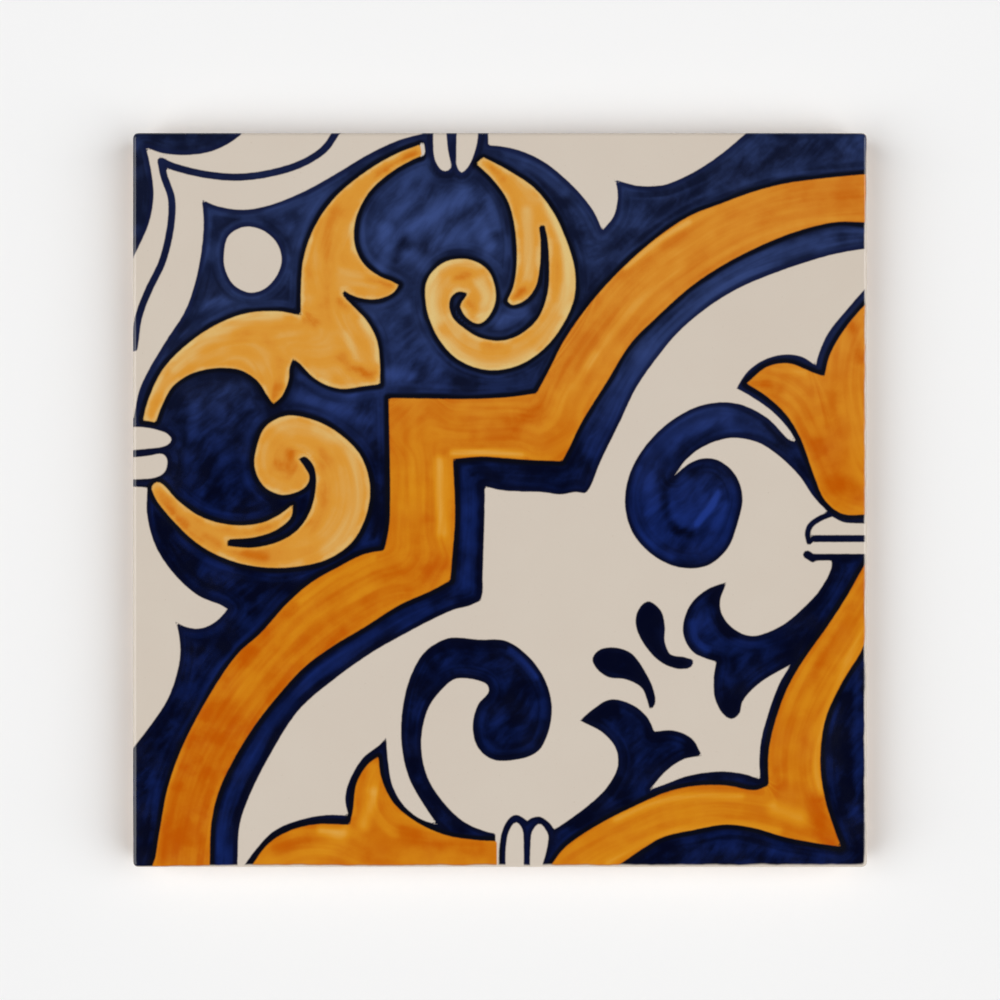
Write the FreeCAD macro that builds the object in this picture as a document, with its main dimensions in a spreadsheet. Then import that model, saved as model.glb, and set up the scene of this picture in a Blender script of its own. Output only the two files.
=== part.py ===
"""Azulejo wall tile: one pressed and fired earthenware piece with a cushioned face and a keyed back.

The tile lies on its back. The origin is the middle of the back, +Z is the way the glazed face looks,
and the keying grooves of the back run along Y. All sizes are in millimetres.
"""

import FreeCAD
import Part
import Sketcher

import os

Vector = FreeCAD.Vector

# Driving sizes: alias, value, what it measures
SIZES = [
    ("face_side", 140.0, "side of the square tile, over the upright band of its edges"),
    ("thickness", 8.0, "lands of the back to the glazed face"),
    ("corner_radius", 1.0, "upright corners, seen from above"),
    ("cushion_radius", 0.7, "rounded rim of the glazed face"),
    ("back_inset", 0.6, "how far each side leans in on its way down to the back"),
    ("relief_height", 5.0, "height above the back at which the sides start to lean in"),
    ("back_rim", 9.0, "plain land between the edge of the back and the groove ends"),
    ("groove_width", 6.0, "width of one keying groove"),
    ("rib_width", 6.0, "land between two keying grooves"),
    ("groove_depth", 0.8, "depth of a keying groove"),
]

BACK_SIDE = "(Sizes.face_side - 2 * Sizes.back_inset)"
GROOVE_PITCH = "(Sizes.groove_width + Sizes.rib_width)"
GROOVE_COUNT = f"floor(({BACK_SIDE} - 2 * Sizes.back_rim + Sizes.rib_width) / {GROOVE_PITCH})"
GROOVE_STRAIGHT = f"({BACK_SIDE} - 2 * Sizes.back_rim - Sizes.groove_width)"
PATTERN_SPAN = f"({GROOVE_COUNT} - 1) * {GROOVE_PITCH}"

# An edge lies in a level if it stays this close to it, in millimetres
LEVEL_TOLERANCE = 1e-4


def make_sheet(doc):
    """Puts the driving sizes in a spreadsheet, one aliased cell each."""
    sheet = doc.addObject("Spreadsheet::Sheet", "Sizes")
    for row, (alias, value, meaning) in enumerate(SIZES, 1):
        sheet.set(f"A{row}", alias)
        sheet.set(f"B{row}", str(value))
        sheet.setAlias(f"B{row}", alias)
        sheet.set(f"C{row}", meaning)
    doc.recompute()
    return sheet


def sketch_on_back(body, name):
    """A sketch on the plane that the back of the tile lies in."""
    sketch = body.newObject("Sketcher::SketchObject", name)
    plane = next(f for f in body.Origin.OriginFeatures if f.Role == "XY_Plane")
    sketch.AttachmentSupport = [(plane, "")]
    sketch.MapMode = "FlatFace"
    return sketch


def bind(sketch, index, name, expression):
    """Names a constraint of a sketch and ties its value to the sheet."""
    sketch.renameConstraint(index, name)
    sketch.setExpression(f"Constraints.{name}", expression)


def draw_square(sketch, first_side):
    """Draws the outline of the tile about the sketch's origin, tied to the sheet."""
    half = first_side / 2
    corners = [
        Vector(-half, -half, 0),
        Vector(half, -half, 0),
        Vector(half, half, 0),
        Vector(-half, half, 0),
    ]
    for start, end in zip(corners, corners[1:] + corners[:1]):
        sketch.addGeometry(Part.LineSegment(start, end), False)
    for line in range(4):
        sketch.addConstraint(Sketcher.Constraint("Coincident", line, 2, (line + 1) % 4, 1))
    for line, direction in enumerate(["Horizontal", "Vertical", "Horizontal", "Vertical"]):
        sketch.addConstraint(Sketcher.Constraint(direction, line))
    sketch.addConstraint(Sketcher.Constraint("Equal", 0, 1))
    sketch.addConstraint(Sketcher.Constraint("Symmetric", 0, 1, 2, 1, -1, 1))
    side = sketch.addConstraint(Sketcher.Constraint("DistanceX", 0, 1, 0, 2, first_side))
    bind(sketch, side, "side", "Sizes.face_side")


def draw_groove(sketch, first_x, first_half_length, first_radius):
    """Draws one round-ended groove along Y, the first of the row, tied to the sheet."""
    top = Vector(first_x, first_half_length, 0)
    bottom = Vector(first_x, -first_half_length, 0)
    reach = Vector(first_radius, 0, 0)
    rise = Vector(0, first_radius, 0)
    left = sketch.addGeometry(Part.LineSegment(top - reach, bottom - reach), False)
    low = sketch.addGeometry(Part.Arc(bottom - reach, bottom - rise, bottom + reach), False)
    right = sketch.addGeometry(Part.LineSegment(bottom + reach, top + reach), False)
    high = sketch.addGeometry(Part.Arc(top + reach, top + rise, top - reach), False)
    around = [left, low, right, high]
    for line, following in zip(around, around[1:] + around[:1]):
        sketch.addConstraint(Sketcher.Constraint("Tangent", line, 2, following, 1))
    sketch.addConstraint(Sketcher.Constraint("Equal", low, high))
    sketch.addConstraint(Sketcher.Constraint("Symmetric", low, 3, high, 3, -1))
    radius = sketch.addConstraint(Sketcher.Constraint("Radius", low, first_radius))
    bind(sketch, radius, "end_radius", "Sizes.groove_width / 2")
    length = sketch.addConstraint(
        Sketcher.Constraint("DistanceY", low, 3, high, 3, 2 * first_half_length)
    )
    bind(sketch, length, "straight_length", GROOVE_STRAIGHT)
    place = sketch.addConstraint(Sketcher.Constraint("DistanceX", low, 3, -1, 1, -first_x))
    bind(sketch, place, "first_groove_offset", f"{PATTERN_SPAN} / 2")


def edges_between(shape, lowest, highest):
    """Names of the edges that run from one level to another, or that lie in a level given twice."""
    names = []
    for number, edge in enumerate(shape.Edges, 1):
        heights = [vertex.Point.z for vertex in edge.Vertexes]
        starts_there = abs(min(heights) - lowest) < LEVEL_TOLERANCE
        ends_there = abs(max(heights) - highest) < LEVEL_TOLERANCE
        if starts_there and ends_there:
            names.append(f"Edge{number}")
    return names


def round_edges(body, name, base, edges, radius_expression):
    """Rounds edges of the base feature with a radius from the sheet."""
    fillet = body.newObject("PartDesign::Fillet", name)
    fillet.Base = (base, edges)
    fillet.setExpression("Radius", radius_expression)
    body.Document.recompute()
    return fillet


def lean_sides_in(body, base, sheet):
    """Leans the sides in towards the back, so that neighbours meet only at the face."""
    relief = body.newObject("PartDesign::Chamfer", "SideRelief")
    relief.Base = (base, edges_between(base.Shape, 0.0, 0.0))
    relief.ChamferType = "Two distances"
    relief.setExpression("Size", "Sizes.back_inset")
    relief.setExpression("Size2", "Sizes.relief_height")
    body.Document.recompute()
    back = next(face for face in relief.Shape.Faces if face.BoundBox.ZMax < LEVEL_TOLERANCE)
    inset = (sheet.face_side - back.BoundBox.XLength) / 2
    if abs(inset - sheet.back_inset) > LEVEL_TOLERANCE:
        relief.FlipDirection = True
        body.Document.recompute()
    return relief


def cut_keying_grooves(body, base, sheet):
    """Cuts the row of blind grooves that the bedding mortar keys into."""
    outline = sketch_on_back(body, "GrooveOutline")
    first_half_length = sheet.face_side / 2 - sheet.back_rim - sheet.groove_width
    draw_groove(outline, -first_half_length, first_half_length, sheet.groove_width / 2)

    groove = body.newObject("PartDesign::Pocket", "KeyingGroove")
    groove.Profile = outline
    groove.Reversed = True
    groove.setExpression("Length", "Sizes.groove_depth")
    body.Document.recompute()
    if groove.Shape.Volume >= base.Shape.Volume:
        raise RuntimeError("the keying groove cuts nothing out of the back")

    row = body.newObject("PartDesign::LinearPattern", "KeyingGrooves")
    row.Originals = [groove]
    row.Direction = (outline, ["H_Axis"])
    row.setExpression("Length", PATTERN_SPAN)
    row.setExpression("Occurrences", GROOVE_COUNT)
    body.Tip = row
    body.Document.recompute()
    return row


def make_tile(doc, sheet):
    """The whole tile: a square slab, its rounded and leaning edges, and its keyed back."""
    body = doc.addObject("PartDesign::Body", "Tile")
    body.Label = "tile"

    outline = sketch_on_back(body, "TileOutline")
    draw_square(outline, sheet.face_side)
    slab = body.newObject("PartDesign::Pad", "Slab")
    slab.Profile = outline
    slab.setExpression("Length", "Sizes.thickness")
    doc.recompute()

    face_level = sheet.thickness
    upright = edges_between(slab.Shape, 0.0, face_level)
    corners = round_edges(body, "UprightCorners", slab, upright, "Sizes.corner_radius")
    rim = edges_between(corners.Shape, face_level, face_level)
    cushion = round_edges(body, "CushionRim", corners, rim, "Sizes.cushion_radius")
    relief = lean_sides_in(body, cushion, sheet)
    cut_keying_grooves(body, relief, sheet)
    return body


def check_document(doc, bodies):
    """Stops the build if a feature failed or a body is not one valid solid."""
    for thing in doc.Objects:
        if "Invalid" in thing.State or "Error" in thing.State:
            raise RuntimeError(f"{thing.Name} failed: {thing.State}")
    for body in bodies:
        shape = body.Shape
        if shape.isNull() or not shape.isValid() or len(shape.Solids) != 1:
            raise RuntimeError(f"{body.Label} is not one valid solid")


def main():
    doc = FreeCAD.newDocument("AzulejoTile")
    sheet = make_sheet(doc)
    bodies = [make_tile(doc, sheet)]
    check_document(doc, bodies)
    os.makedirs("parts", exist_ok=True)
    for body in bodies:
        body.Shape.exportStep(f"parts/{body.Label}.step")
        box = body.Shape.optimalBoundingBox(False)
        size = f"{box.XLength:.3f} x {box.YLength:.3f} x {box.ZLength:.3f} mm"
        print(f"{body.Label}: {size}, {body.Shape.Volume / 1000:.2f} cm3")


main()
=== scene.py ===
import math

import bmesh
import bpy
import numpy as np
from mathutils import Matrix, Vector
from mathutils.geometry import delaunay_2d_cdt


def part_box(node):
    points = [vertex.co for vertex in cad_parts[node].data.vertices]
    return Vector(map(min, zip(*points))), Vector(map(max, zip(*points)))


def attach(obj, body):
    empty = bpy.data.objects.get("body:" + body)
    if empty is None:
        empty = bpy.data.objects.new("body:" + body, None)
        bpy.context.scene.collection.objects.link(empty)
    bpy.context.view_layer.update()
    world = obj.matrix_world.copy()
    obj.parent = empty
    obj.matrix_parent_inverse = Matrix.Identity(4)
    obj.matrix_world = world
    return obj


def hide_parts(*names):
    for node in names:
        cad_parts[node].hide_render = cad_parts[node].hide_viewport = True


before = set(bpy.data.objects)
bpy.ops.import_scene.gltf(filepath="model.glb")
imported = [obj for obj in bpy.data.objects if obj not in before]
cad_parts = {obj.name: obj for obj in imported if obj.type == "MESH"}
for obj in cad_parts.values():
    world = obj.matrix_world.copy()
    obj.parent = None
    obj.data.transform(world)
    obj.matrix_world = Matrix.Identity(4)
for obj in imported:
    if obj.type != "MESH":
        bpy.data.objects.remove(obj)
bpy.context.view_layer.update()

# Sizes of the fired tile, in millimetres. The frame gives the overall ones.
MM = 0.001
TILE_LOW, TILE_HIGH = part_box("tile")
FACE_SIDE = (TILE_HIGH.x - TILE_LOW.x) / MM
THICKNESS = (TILE_HIGH.z - TILE_LOW.z) / MM
HALF_SIDE = FACE_SIDE / 2
CORNER_RADIUS = 1.0
CUSHION_RADIUS = 0.7
RELIEF_HEIGHT = 5.0
BACK_INSET = 0.6
BACK_RIM = 9.0
GROOVE_WIDTH = 6.0
GROOVE_PITCH = 12.0
GROOVE_DEPTH = 0.8
GROOVE_COUNT = 10
BEYOND_GLAZE = 2 * HALF_SIDE

# Small roundings of the bare clay, and how deep the glaze sags into its slow and its quick waves.
BACK_EDGE_ROUND = 0.35
BACK_EDGE_LEAN = 0.95
GROOVE_EDGE_ROUND = 0.2
ROUND_MIDDLE = 0.3
LEAST_CORNER = 0.4
SLOW_SAG = 0.012
QUICK_SAG = 0.008
SAG_FADE = 4.0

# How finely the tile is meshed and the painting is worked out, in millimetres.
FACE_CELLS = 266
FACE_BORDER = 0.3
FACE_FLAT = HALF_SIDE - CUSHION_RADIUS - FACE_BORDER
RIM_POINTS = 7
SIDE_RING_RISE = 0.9
LEAN_RING_HEIGHTS = (3.4, 1.8)
GROOVE_END_POINTS = 13
GROOVE_SIDE_POINTS = 13
SHARP_ANGLE = 50.0
CURVE_STEP = 0.35
RASTER_STEP = 0.25
RASTER_HALF = 72.0
REACH = 8.0
NEXT_TO_NOTHING = 1e-6
INSIDE_ONLY = 1


# Curves of the brush.

def smooth_run(points, before=None, after=None):
    """A curve through the points, each span leaning on the points before and after it."""
    places = np.array(points, float)
    if before is None:
        before = 2 * places[0] - places[1]
    if after is None:
        after = 2 * places[-1] - places[-2]
    chain = np.vstack([before, places, after])
    spans = np.sqrt(np.hypot(*np.diff(chain, axis=0).T))
    knots = np.concatenate([[0.0], np.cumsum(spans)])
    curve = [places[:1]]
    for i in range(len(places) - 1):
        p0, p1, p2, p3 = chain[i:i + 4]
        k0, k1, k2, k3 = knots[i:i + 4]
        count = max(2, int(np.hypot(*(p2 - p1)) / CURVE_STEP) + 1)
        k = np.linspace(k1, k2, count + 1)[1:, None]
        a1 = ((k1 - k) * p0 + (k - k0) * p1) / (k1 - k0)
        a2 = ((k2 - k) * p1 + (k - k1) * p2) / (k2 - k1)
        a3 = ((k3 - k) * p2 + (k - k2) * p3) / (k3 - k2)
        b1 = ((k2 - k) * a1 + (k - k0) * a2) / (k2 - k0)
        b2 = ((k3 - k) * a2 + (k - k1) * a3) / (k3 - k1)
        curve.append(((k2 - k) * b1 + (k - k1) * b2) / (k2 - k1))
    return np.vstack(curve)


def outline(*runs):
    """A closed outline of smooth runs that meet at corners. A run starts where the one before it ends."""
    start = runs[-1][-1]
    parts = []
    for run in runs:
        parts.append(smooth_run([start, *run])[1:])
        start = run[-1]
    return np.vstack(parts)


def loop(*points):
    """A closed outline with no corner."""
    return smooth_run([*points, points[0]], before=points[-1], after=points[1])[1:]


# The painting: outlines in millimetres from the middle of the face, x to the right and y up.

# Blue field with the stripe inside the ochre band, from the cusp by the white dot round to it again.
FIELD = outline(
    [(-54.5, 56.2), (-49.5, 55.3), (-44.5, 56.0), (-37.5, 58.7), (-31, 62.3), (-25, 65.9), (-19.4, 68.5),
     (-14.8, 69.8)],
    [(-14.8, 72)], [(-2.3, 72)], [(-2.2, 67.6)],
    [(0, 67.4), (3, 66.8), (6, 65.7), (9, 64), (12, 61.6), (15.5, 58.1), (18, 54.7), (19.5, 51.4)],
    [(21.6, 54), (22.4, 57.5), (22.1, 60.2), (21.5, 61.2)],
    [(23.3, 60.6), (26, 59.9), (29, 59.8), (31.5, 60.1), (37, 62.5), (42.5, 66.2), (47, 70)],
    [(48.5, 72)], [(72, 72)], [(72, 48.2)],
    [(69.3, 47.8), (64, 46.9), (58, 45.2), (52, 43.1), (46, 40.6), (40, 37), (34, 32), (30, 27.2),
     (26, 21.5), (22.8, 14.8), (19, 7), (17.3, 2.7), (16.3, 1.2)],
    [(14.5, 1.5), (11.5, 1.05), (8, 1.5), (4, 1.6), (0, 1.9), (-2.9, 2.6)],
    [(-2.9, 0), (-3.0, -5), (-3.3, -15), (-3.3, -17.5), (-3.7, -19.2)],
    [(-6, -20.2), (-8.5, -20.8), (-13, -22.8), (-18.5, -25.7), (-24, -28.8), (-31, -33.7), (-38.3, -40),
     (-43.5, -48), (-47.8, -56.5), (-49.6, -62), (-50, -69)],
    [(-50, -72)], [(-72, -72)], [(-72, -50)], [(-69.7, -47)],
    [(-66.5, -42.8), (-63.2, -37.7), (-61.3, -32), (-60.9, -28.5), (-61.3, -25), (-61.9, -23)],
    [(-60.3, -24), (-57.5, -24.5), (-55, -23.7), (-53.3, -22.4), (-51.9, -20.8)],
    [(-53, -20.1), (-57.5, -18.2), (-62, -14.2), (-65.5, -9), (-67.2, -3), (-67.2, 2.4)],
    [(-72, 2.6)], [(-72, 15.5)], [(-69.8, 15.5)],
    [(-68.7, 20.9), (-66.8, 25), (-63.5, 30.5), (-60, 36), (-57.8, 42.5), (-56.6, 50), (-56.5, 54),
     (-56.8, 57.3)])

# Corner patches and the double arc beside them.
CORNER_PATCH = outline(
    [(-49, 72)], [(-49.3, 69.6)],
    [(-51.5, 68), (-55, 66.4), (-59.5, 65.7), (-64, 66.0), (-67.4, 67.1)],
    [(-66.5, 63), (-66, 58), (-66.8, 53), (-68.7, 48.5), (-70, 46)],
    [(-72, 44)], [(-72, 72)])
ARC_TOP = smooth_run([(-64.6, 64.6), (-62.2, 63.5), (-56, 62), (-50, 61.5), (-44, 62.2), (-38, 64),
                      (-33.5, 66.8), (-31, 70.3)])
ARC_LEFT = smooth_run([(-64.6, 64.6), (-64, 61.7), (-62.6, 57.5), (-62.7, 52.5), (-64.3, 45.5), (-67, 39.8),
                       (-68.8, 35), (-69.7, 29)])
WHITE_DOT = loop((-52.6, 46.5), (-51.7, 50.3), (-48.8, 52.0), (-45.5, 51.5), (-42.7, 49.2), (-41.6, 46),
                 (-42.5, 42.8), (-44.8, 40.3), (-47.5, 39.5), (-50.5, 40.8), (-52.2, 43.5))

# Acanthus leaf with two arms.
ACANTHUS = outline(
    [(-42, 35.9), (-48, 35.6), (-54, 33.4), (-60, 29.3), (-64.3, 24.7), (-67, 19), (-68, 15.2)],
    [(-65.6, 14.8)],
    [(-64.5, 17.8), (-62.3, 21.7), (-58.5, 24.2), (-53, 25.2), (-49, 24.6), (-46, 22.5), (-44.5, 20.2),
     (-43.2, 18.3)],
    [(-41.6, 19.8), (-40.3, 22.8), (-40.1, 25.3), (-39.4, 27.0)],
    [(-38, 25.9), (-35.7, 23.5), (-33, 21.9), (-30, 21.2), (-26, 21.7), (-22.9, 22.1)],
    [(-22.9, 26), (-23.5, 30.5), (-25.4, 34.1), (-27.5, 36.4), (-29.2, 38.1), (-30.1, 39.2)],
    [(-29.8, 39.9), (-28.5, 39.2), (-26.5, 38.5), (-23.5, 38.3), (-20.5, 39.4), (-19.3, 40.9)],
    [(-20.8, 41.7), (-23, 42.6), (-26, 45), (-27.7, 48.7), (-27.5, 53.5), (-25, 58.6), (-21, 62.3),
     (-17, 64.7), (-14.9, 65.6)],
    [(-15.2, 67.7)],
    [(-20, 65.8), (-26, 62.2), (-31.5, 57.5), (-35.3, 52), (-37.4, 46), (-37.9, 40), (-37.9, 35.1)])

# Two scrolls, one above and one to the left, with a dark split line in each.
SCROLL_TOP = outline(
    [(1.5, 62.8), (6.5, 59.4), (10, 55), (12.4, 50), (14.2, 44), (14.1, 38.5), (12, 33.5), (8.3, 28.8),
     (3.3, 25.6), (-2.5, 24.8), (-8, 26.8), (-11.8, 31), (-14, 36.8), (-13.8, 42), (-10.5, 45.3), (-6, 45.8),
     (-2.3, 43.7), (-0.8, 39), (-1.8, 35.5), (-4, 33.6), (-6.5, 34.9), (-7.6, 36.8)],
    [(-7.2, 37.8), (-6.4, 38.8), (-6.3, 39.5)],
    [(-8, 39.7), (-9.3, 38.7), (-9.7, 37), (-9, 34.7), (-7, 32.8), (-3.8, 30.9), (0, 30.3), (3.5, 31.3),
     (7.2, 34.5), (9, 39), (9.4, 43), (9.1, 49.5), (8.5, 52.4)],
    [(7.4, 52.3)],
    [(7.7, 49), (7.5, 44), (6.6, 40.3), (4.5, 37.9), (2.3, 37.2), (1.4, 37.9)],
    [(2.6, 40.8), (3.2, 45), (2.9, 51.5), (1.5, 57), (-1.2, 60.9), (-4.5, 64.1)],
    [(-3.2, 65.3)])
SCROLL_LEFT = outline(
    [(-66, 3), (-65.3, 3.4), (-64.3, 3.0), (-61.5, 0), (-57, -3.2), (-51, -4.8), (-45.5, -4.4), (-42, -2.8),
     (-39.5, -0.9)],
    [(-39.8, -3.2), (-42.5, -5.6), (-46.5, -7.0), (-51.9, -7.5)],
    [(-52, -8.8)],
    [(-47, -9.1), (-42, -7.9), (-38.5, -5.7), (-36, -1.8), (-35, 3.2), (-35.5, 6.5), (-37.2, 8.3),
     (-38.4, 7.8)],
    [(-37.2, 6.2), (-36.3, 4.3), (-37.2, 2.4), (-41.3, 1.0), (-44.8, 2.5), (-46.7, 6.2), (-46.2, 10.5),
     (-44.6, 14), (-40.8, 16), (-35.5, 15.2), (-30.5, 12.5), (-26.5, 8.3), (-24.8, 2.5), (-25.7, -3.5),
     (-28.5, -8.3), (-33, -11.3), (-39, -12.7), (-45, -12.8), (-51, -11.6), (-57, -8.7), (-62, -4.2),
     (-65.6, 0.3), (-66.4, 2.3)])

# Ochre band with its stepped corner.
BAND = outline(
    [(69.5, 62), (63, 61.4), (54, 60.2), (48, 58.6), (42, 56.4), (36, 54), (30, 50), (24, 44.8), (18, 38.4),
     (12.3, 30.5), (9.5, 25), (7, 20.3)],
    [(2, 19.6), (-6, 19.2), (-14, 19.3), (-21.2, 19.4)],
    [(-21, 10), (-20.9, 0), (-21.1, -5), (-22, -9.6)],
    [(-26, -10.4), (-31, -12.9), (-36, -15.8), (-40.5, -19.7), (-45.5, -25.3), (-50, -29.4), (-55.5, -37.5),
     (-60.7, -47.5), (-63.3, -55), (-64.8, -63), (-65.6, -68)],
    [(-67, -72)], [(-55.3, -72)],
    [(-55.3, -69), (-55, -61.5), (-53.6, -55.5), (-50.8, -49.5), (-47, -43.3), (-42.5, -37.5), (-37.5, -32),
     (-32, -27.9), (-26, -24.3), (-19, -19.9), (-13, -17.2), (-9.5, -15.3)],
    [(-9.1, -10.5), (-8.6, -3), (-9.0, 7.8)],
    [(-6.5, 8.1), (-3, 8.3), (1, 8), (5, 7.7), (11.8, 7.4)],
    [(13.2, 10), (15.5, 14.8), (20, 22), (25, 30), (30, 35), (36, 40.4), (42, 44.5), (48, 47.7), (54, 50.3),
     (60, 52.2), (64.5, 53), (69.5, 52.9)],
    [(72, 52.9)], [(72, 62.1)])

# Half buds on the right and lower edges: the dark shape behind each, then its ochre.
BUD_RIGHT_LINE = outline(
    [(69.6, 40.3), (66, 36.2), (62.5, 31.8), (60.5, 27.2), (60.2, 25.6)],
    [(57.5, 27.3), (54, 27.7), (50.5, 26.8), (47.3, 24.6), (45, 21.3)],
    [(48, 19.6), (51.8, 16.9), (54.9, 13.6), (56.5, 10.9), (57.2, 8.9), (59.0, 3.4), (61.9, -1.7), (65, -4.1),
     (69.5, -4.5)],
    [(72, -4.5)], [(72, 42.5)])
BUD_RIGHT = outline(
    [(69.4, 37), (65.5, 32.3), (62.8, 27.5), (61.8, 23.5)],
    [(59.5, 24.3), (55, 26), (51, 25.4), (47, 22.2)],
    [(50.5, 20), (54.5, 16.3), (57.2, 11.9), (59.9, 4.5), (61.9, 0), (65.2, -2.6), (69.5, -2.8)],
    [(72, -2.8)], [(72, 39.2)])
BUD_LOWER_LINE = outline(
    [(-46.7, -66.8), (-43, -63), (-38, -60.9), (-33, -60), (-28.9, -60.1)],
    [(-29.5, -57), (-28.7, -53.5), (-26, -49), (-23, -46.7), (-21.7, -45.2)],
    [(-21.4, -49), (-20.6, -54), (-18.7, -57.7), (-15.6, -60.5), (-11.9, -61.9)],
    [(-6, -63.4), (-0.9, -63.5)], [(-0.6, -72)], [(-51, -72)], [(-49, -70)])
BUD_LOWER = outline(
    [(-47, -69.3), (-44, -65.4), (-40, -63), (-35, -61.8), (-28.6, -61.9)],
    [(-28, -59), (-27.3, -54), (-25.2, -50.4), (-23.2, -48.9)],
    [(-22.6, -53), (-20.3, -57.7), (-16, -61.3), (-10.5, -63.8), (-4.5, -64.8), (-0.6, -65)],
    [(-0.6, -72)], [(-48.5, -72)])

# Blue curls that grow from the buds.
CURL_RIGHT = outline(
    [(55.1, 11.5), (50.7, 15.8), (45, 18.4), (39, 18.2), (33.5, 15.7), (28.5, 11.3), (24.9, 5.5),
     (23.8, -0.5), (25.3, -6.3), (29.5, -10.8), (34.5, -12.9), (39.5, -12.5), (43.3, -9.3), (45.3, -4.3),
     (46.2, 0.7), (44.7, 5), (41.5, 7.6), (38.5, 7.9), (35.8, 6.8), (33.2, 4.6)],
    [(35.5, 7.7), (39, 10.3), (44, 11.8), (49, 11), (53, 8.5), (57.0, 4.6), (59.9, 0.4), (62.8, -2.6)],
    [(66, 0)], [(60, 10)], [(56.4, 11)])
CURL_LOWER = outline(
    [(-14.3, -58.4), (-17.3, -53), (-18.7, -47), (-18.6, -40), (-17, -33.5), (-14.3, -28.9), (-10.5, -26.5),
     (-8.5, -26.2), (-4, -26.6), (1, -26.8), (5, -29.4), (8.2, -33.5), (9.8, -38.5), (9.4, -43.5),
     (7.3, -47.8), (3.5, -49.4), (-1.5, -49.4), (-4.3, -47), (-5.2, -43), (-4.2, -39), (-2.2, -36.6),
     (-2.4, -35.3), (-4.5, -34.3), (-8.5, -34.1), (-11, -36), (-13.7, -39.8), (-15, -46), (-14, -52.3),
     (-11, -57.3), (-7, -61.2), (-2.5, -63.2), (-0.9, -63.5)],
    [(-0.9, -66)], [(-8, -65)], [(-11.9, -61.9)])

# Ties with two white fingers, one in the middle of each edge or near it.
TIE_RIGHT_LOOP = smooth_run([(63, -2.7), (60.8, -3.6), (59.1, -4.9), (58.6, -6.4), (58.9, -8)])
TIE_RIGHT_BAR = smooth_run([(59.85, -7.35), (72, -7.35)])
TIE_RIGHT_FOOT = smooth_run([(59.2, -10.9), (72, -10.9)])
TIE_RIGHT_HEEL = smooth_run([(58.5, -10.4), (59.6, -11.1)])
TIE_LOWER_LINE = outline(
    [(-0.1, -66), (0.65, -62.4), (2.1, -60.3), (3.3, -60.0), (4.4, -60.5), (5.1, -61.2)],
    [(6.0, -60.6), (7.5, -60.3), (9.2, -61.3), (10.5, -63)],
    [(12, -66)], [(12, -72)], [(-0.1, -72)])
FINGERS = [
    outline([(-12.7, 68), (-12.3, 64.6), (-10.8, 62.7), (-9.4, 63.2), (-9.9, 66.5), (-10.4, 72)],
            [(-12.6, 72)]),
    outline([(-8.3, 66), (-8.2, 63.6), (-7.3, 62.4), (-6, 63.6), (-4.5, 67.5), (-4, 72)], [(-8.2, 72)]),
    outline([(-68, 13.85), (-65.5, 13.4), (-63.4, 12.6), (-62.6, 11.6), (-63.2, 10.6), (-64.5, 10.1),
             (-67.5, 9.75), (-72, 9.3)], [(-72, 14)]),
    outline([(-69, 8.2), (-66.5, 8.5), (-64.5, 8.8), (-63.6, 8.2), (-63.4, 6.6), (-64, 5.2), (-65.6, 4.3),
             (-68, 4.0), (-72, 3.9)], [(-72, 8.1)]),
    outline([(1.15, -66), (1.75, -63), (3, -61.4), (4.2, -62.6), (4.5, -66), (4.5, -72)], [(1.05, -72)]),
    outline([(5.8, -66), (6.2, -63), (7.5, -61.7), (9.1, -63.6), (8.9, -66.5), (8.0, -70), (7.9, -72)],
            [(5.7, -72)])]

# Bare gap between the upper tie and the tip of the leaf.
LEAF_GAP = loop((-15.2, 65.4), (-14.4, 65.8), (-14.4, 67.5), (-14.7, 68.1), (-15.2, 67.8))

# Leaf sprigs, two drops, and the quarter flower in the corner.
SPRIG_RIGHT = outline(
    [(39.5, -17), (36.5, -19.6), (35, -23), (35, -26), (36.8, -29), (39.5, -30.3), (41.2, -30.8)],
    [(40.7, -34), (41, -38), (42.7, -41), (44.2, -41.7), (45.6, -40.7), (46.2, -38.4), (49.3, -35),
     (55.4, -31.3)],
    [(60, -32)], [(72, -14)], [(72, -10.2)], [(62.7, -10.4)],
    [(63.2, -12.4), (61, -17), (57.5, -20.8), (53.5, -24), (48, -25.9), (44.5, -24.5), (42.4, -22),
     (41.9, -19.5), (43.2, -15.6)])
SPRIG_LOWER = outline(
    [(17.5, -40), (21, -38), (25, -38.9), (28, -41.3), (29.4, -44.1)],
    [(33, -43.9), (36.5, -45.4), (38.5, -48.7)],
    [(35, -49.4), (31.8, -51.5), (28.5, -55.2)],
    [(30, -60)], [(12, -72)], [(8.5, -72)], [(8.6, -69), (9.6, -65), (10.3, -62.8)],
    [(13, -61), (17, -58), (20.3, -54.8), (22.4, -50.8), (22, -47.2), (19.5, -44.3), (15.2, -42)])
DROP_RIGHT = loop((28.2, -19.3), (30.6, -21), (31.4, -24), (31.4, -27), (32.5, -29.4), (35, -29.9),
                  (36.8, -30.6), (36.4, -31.8), (34.2, -32.2), (30.8, -31), (27.8, -28), (25.9, -24),
                  (26.3, -21))
DROP_LEFT = loop((17.6, -30.2), (19, -28.5), (22, -28.1), (25, -29.2), (27.7, -32.8), (29.4, -36.7),
                 (29.5, -39), (28.6, -39.8), (28.1, -38.4), (27, -35.8), (24, -34.2), (20.5, -33.7),
                 (18.3, -32))
FLOWER = outline(
    [(64, -24)], [(58, -31)], [(55.4, -31.3)],
    [(53.2, -35), (51, -41), (49.7, -46), (49.4, -50), (49.6, -53.2)],
    [(46.5, -52.2), (42, -51.7), (36, -52.5), (31, -54.3), (28.5, -55.2)],
    [(26, -60)], [(9, -72)], [(72, -72)], [(72, -12)])
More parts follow.
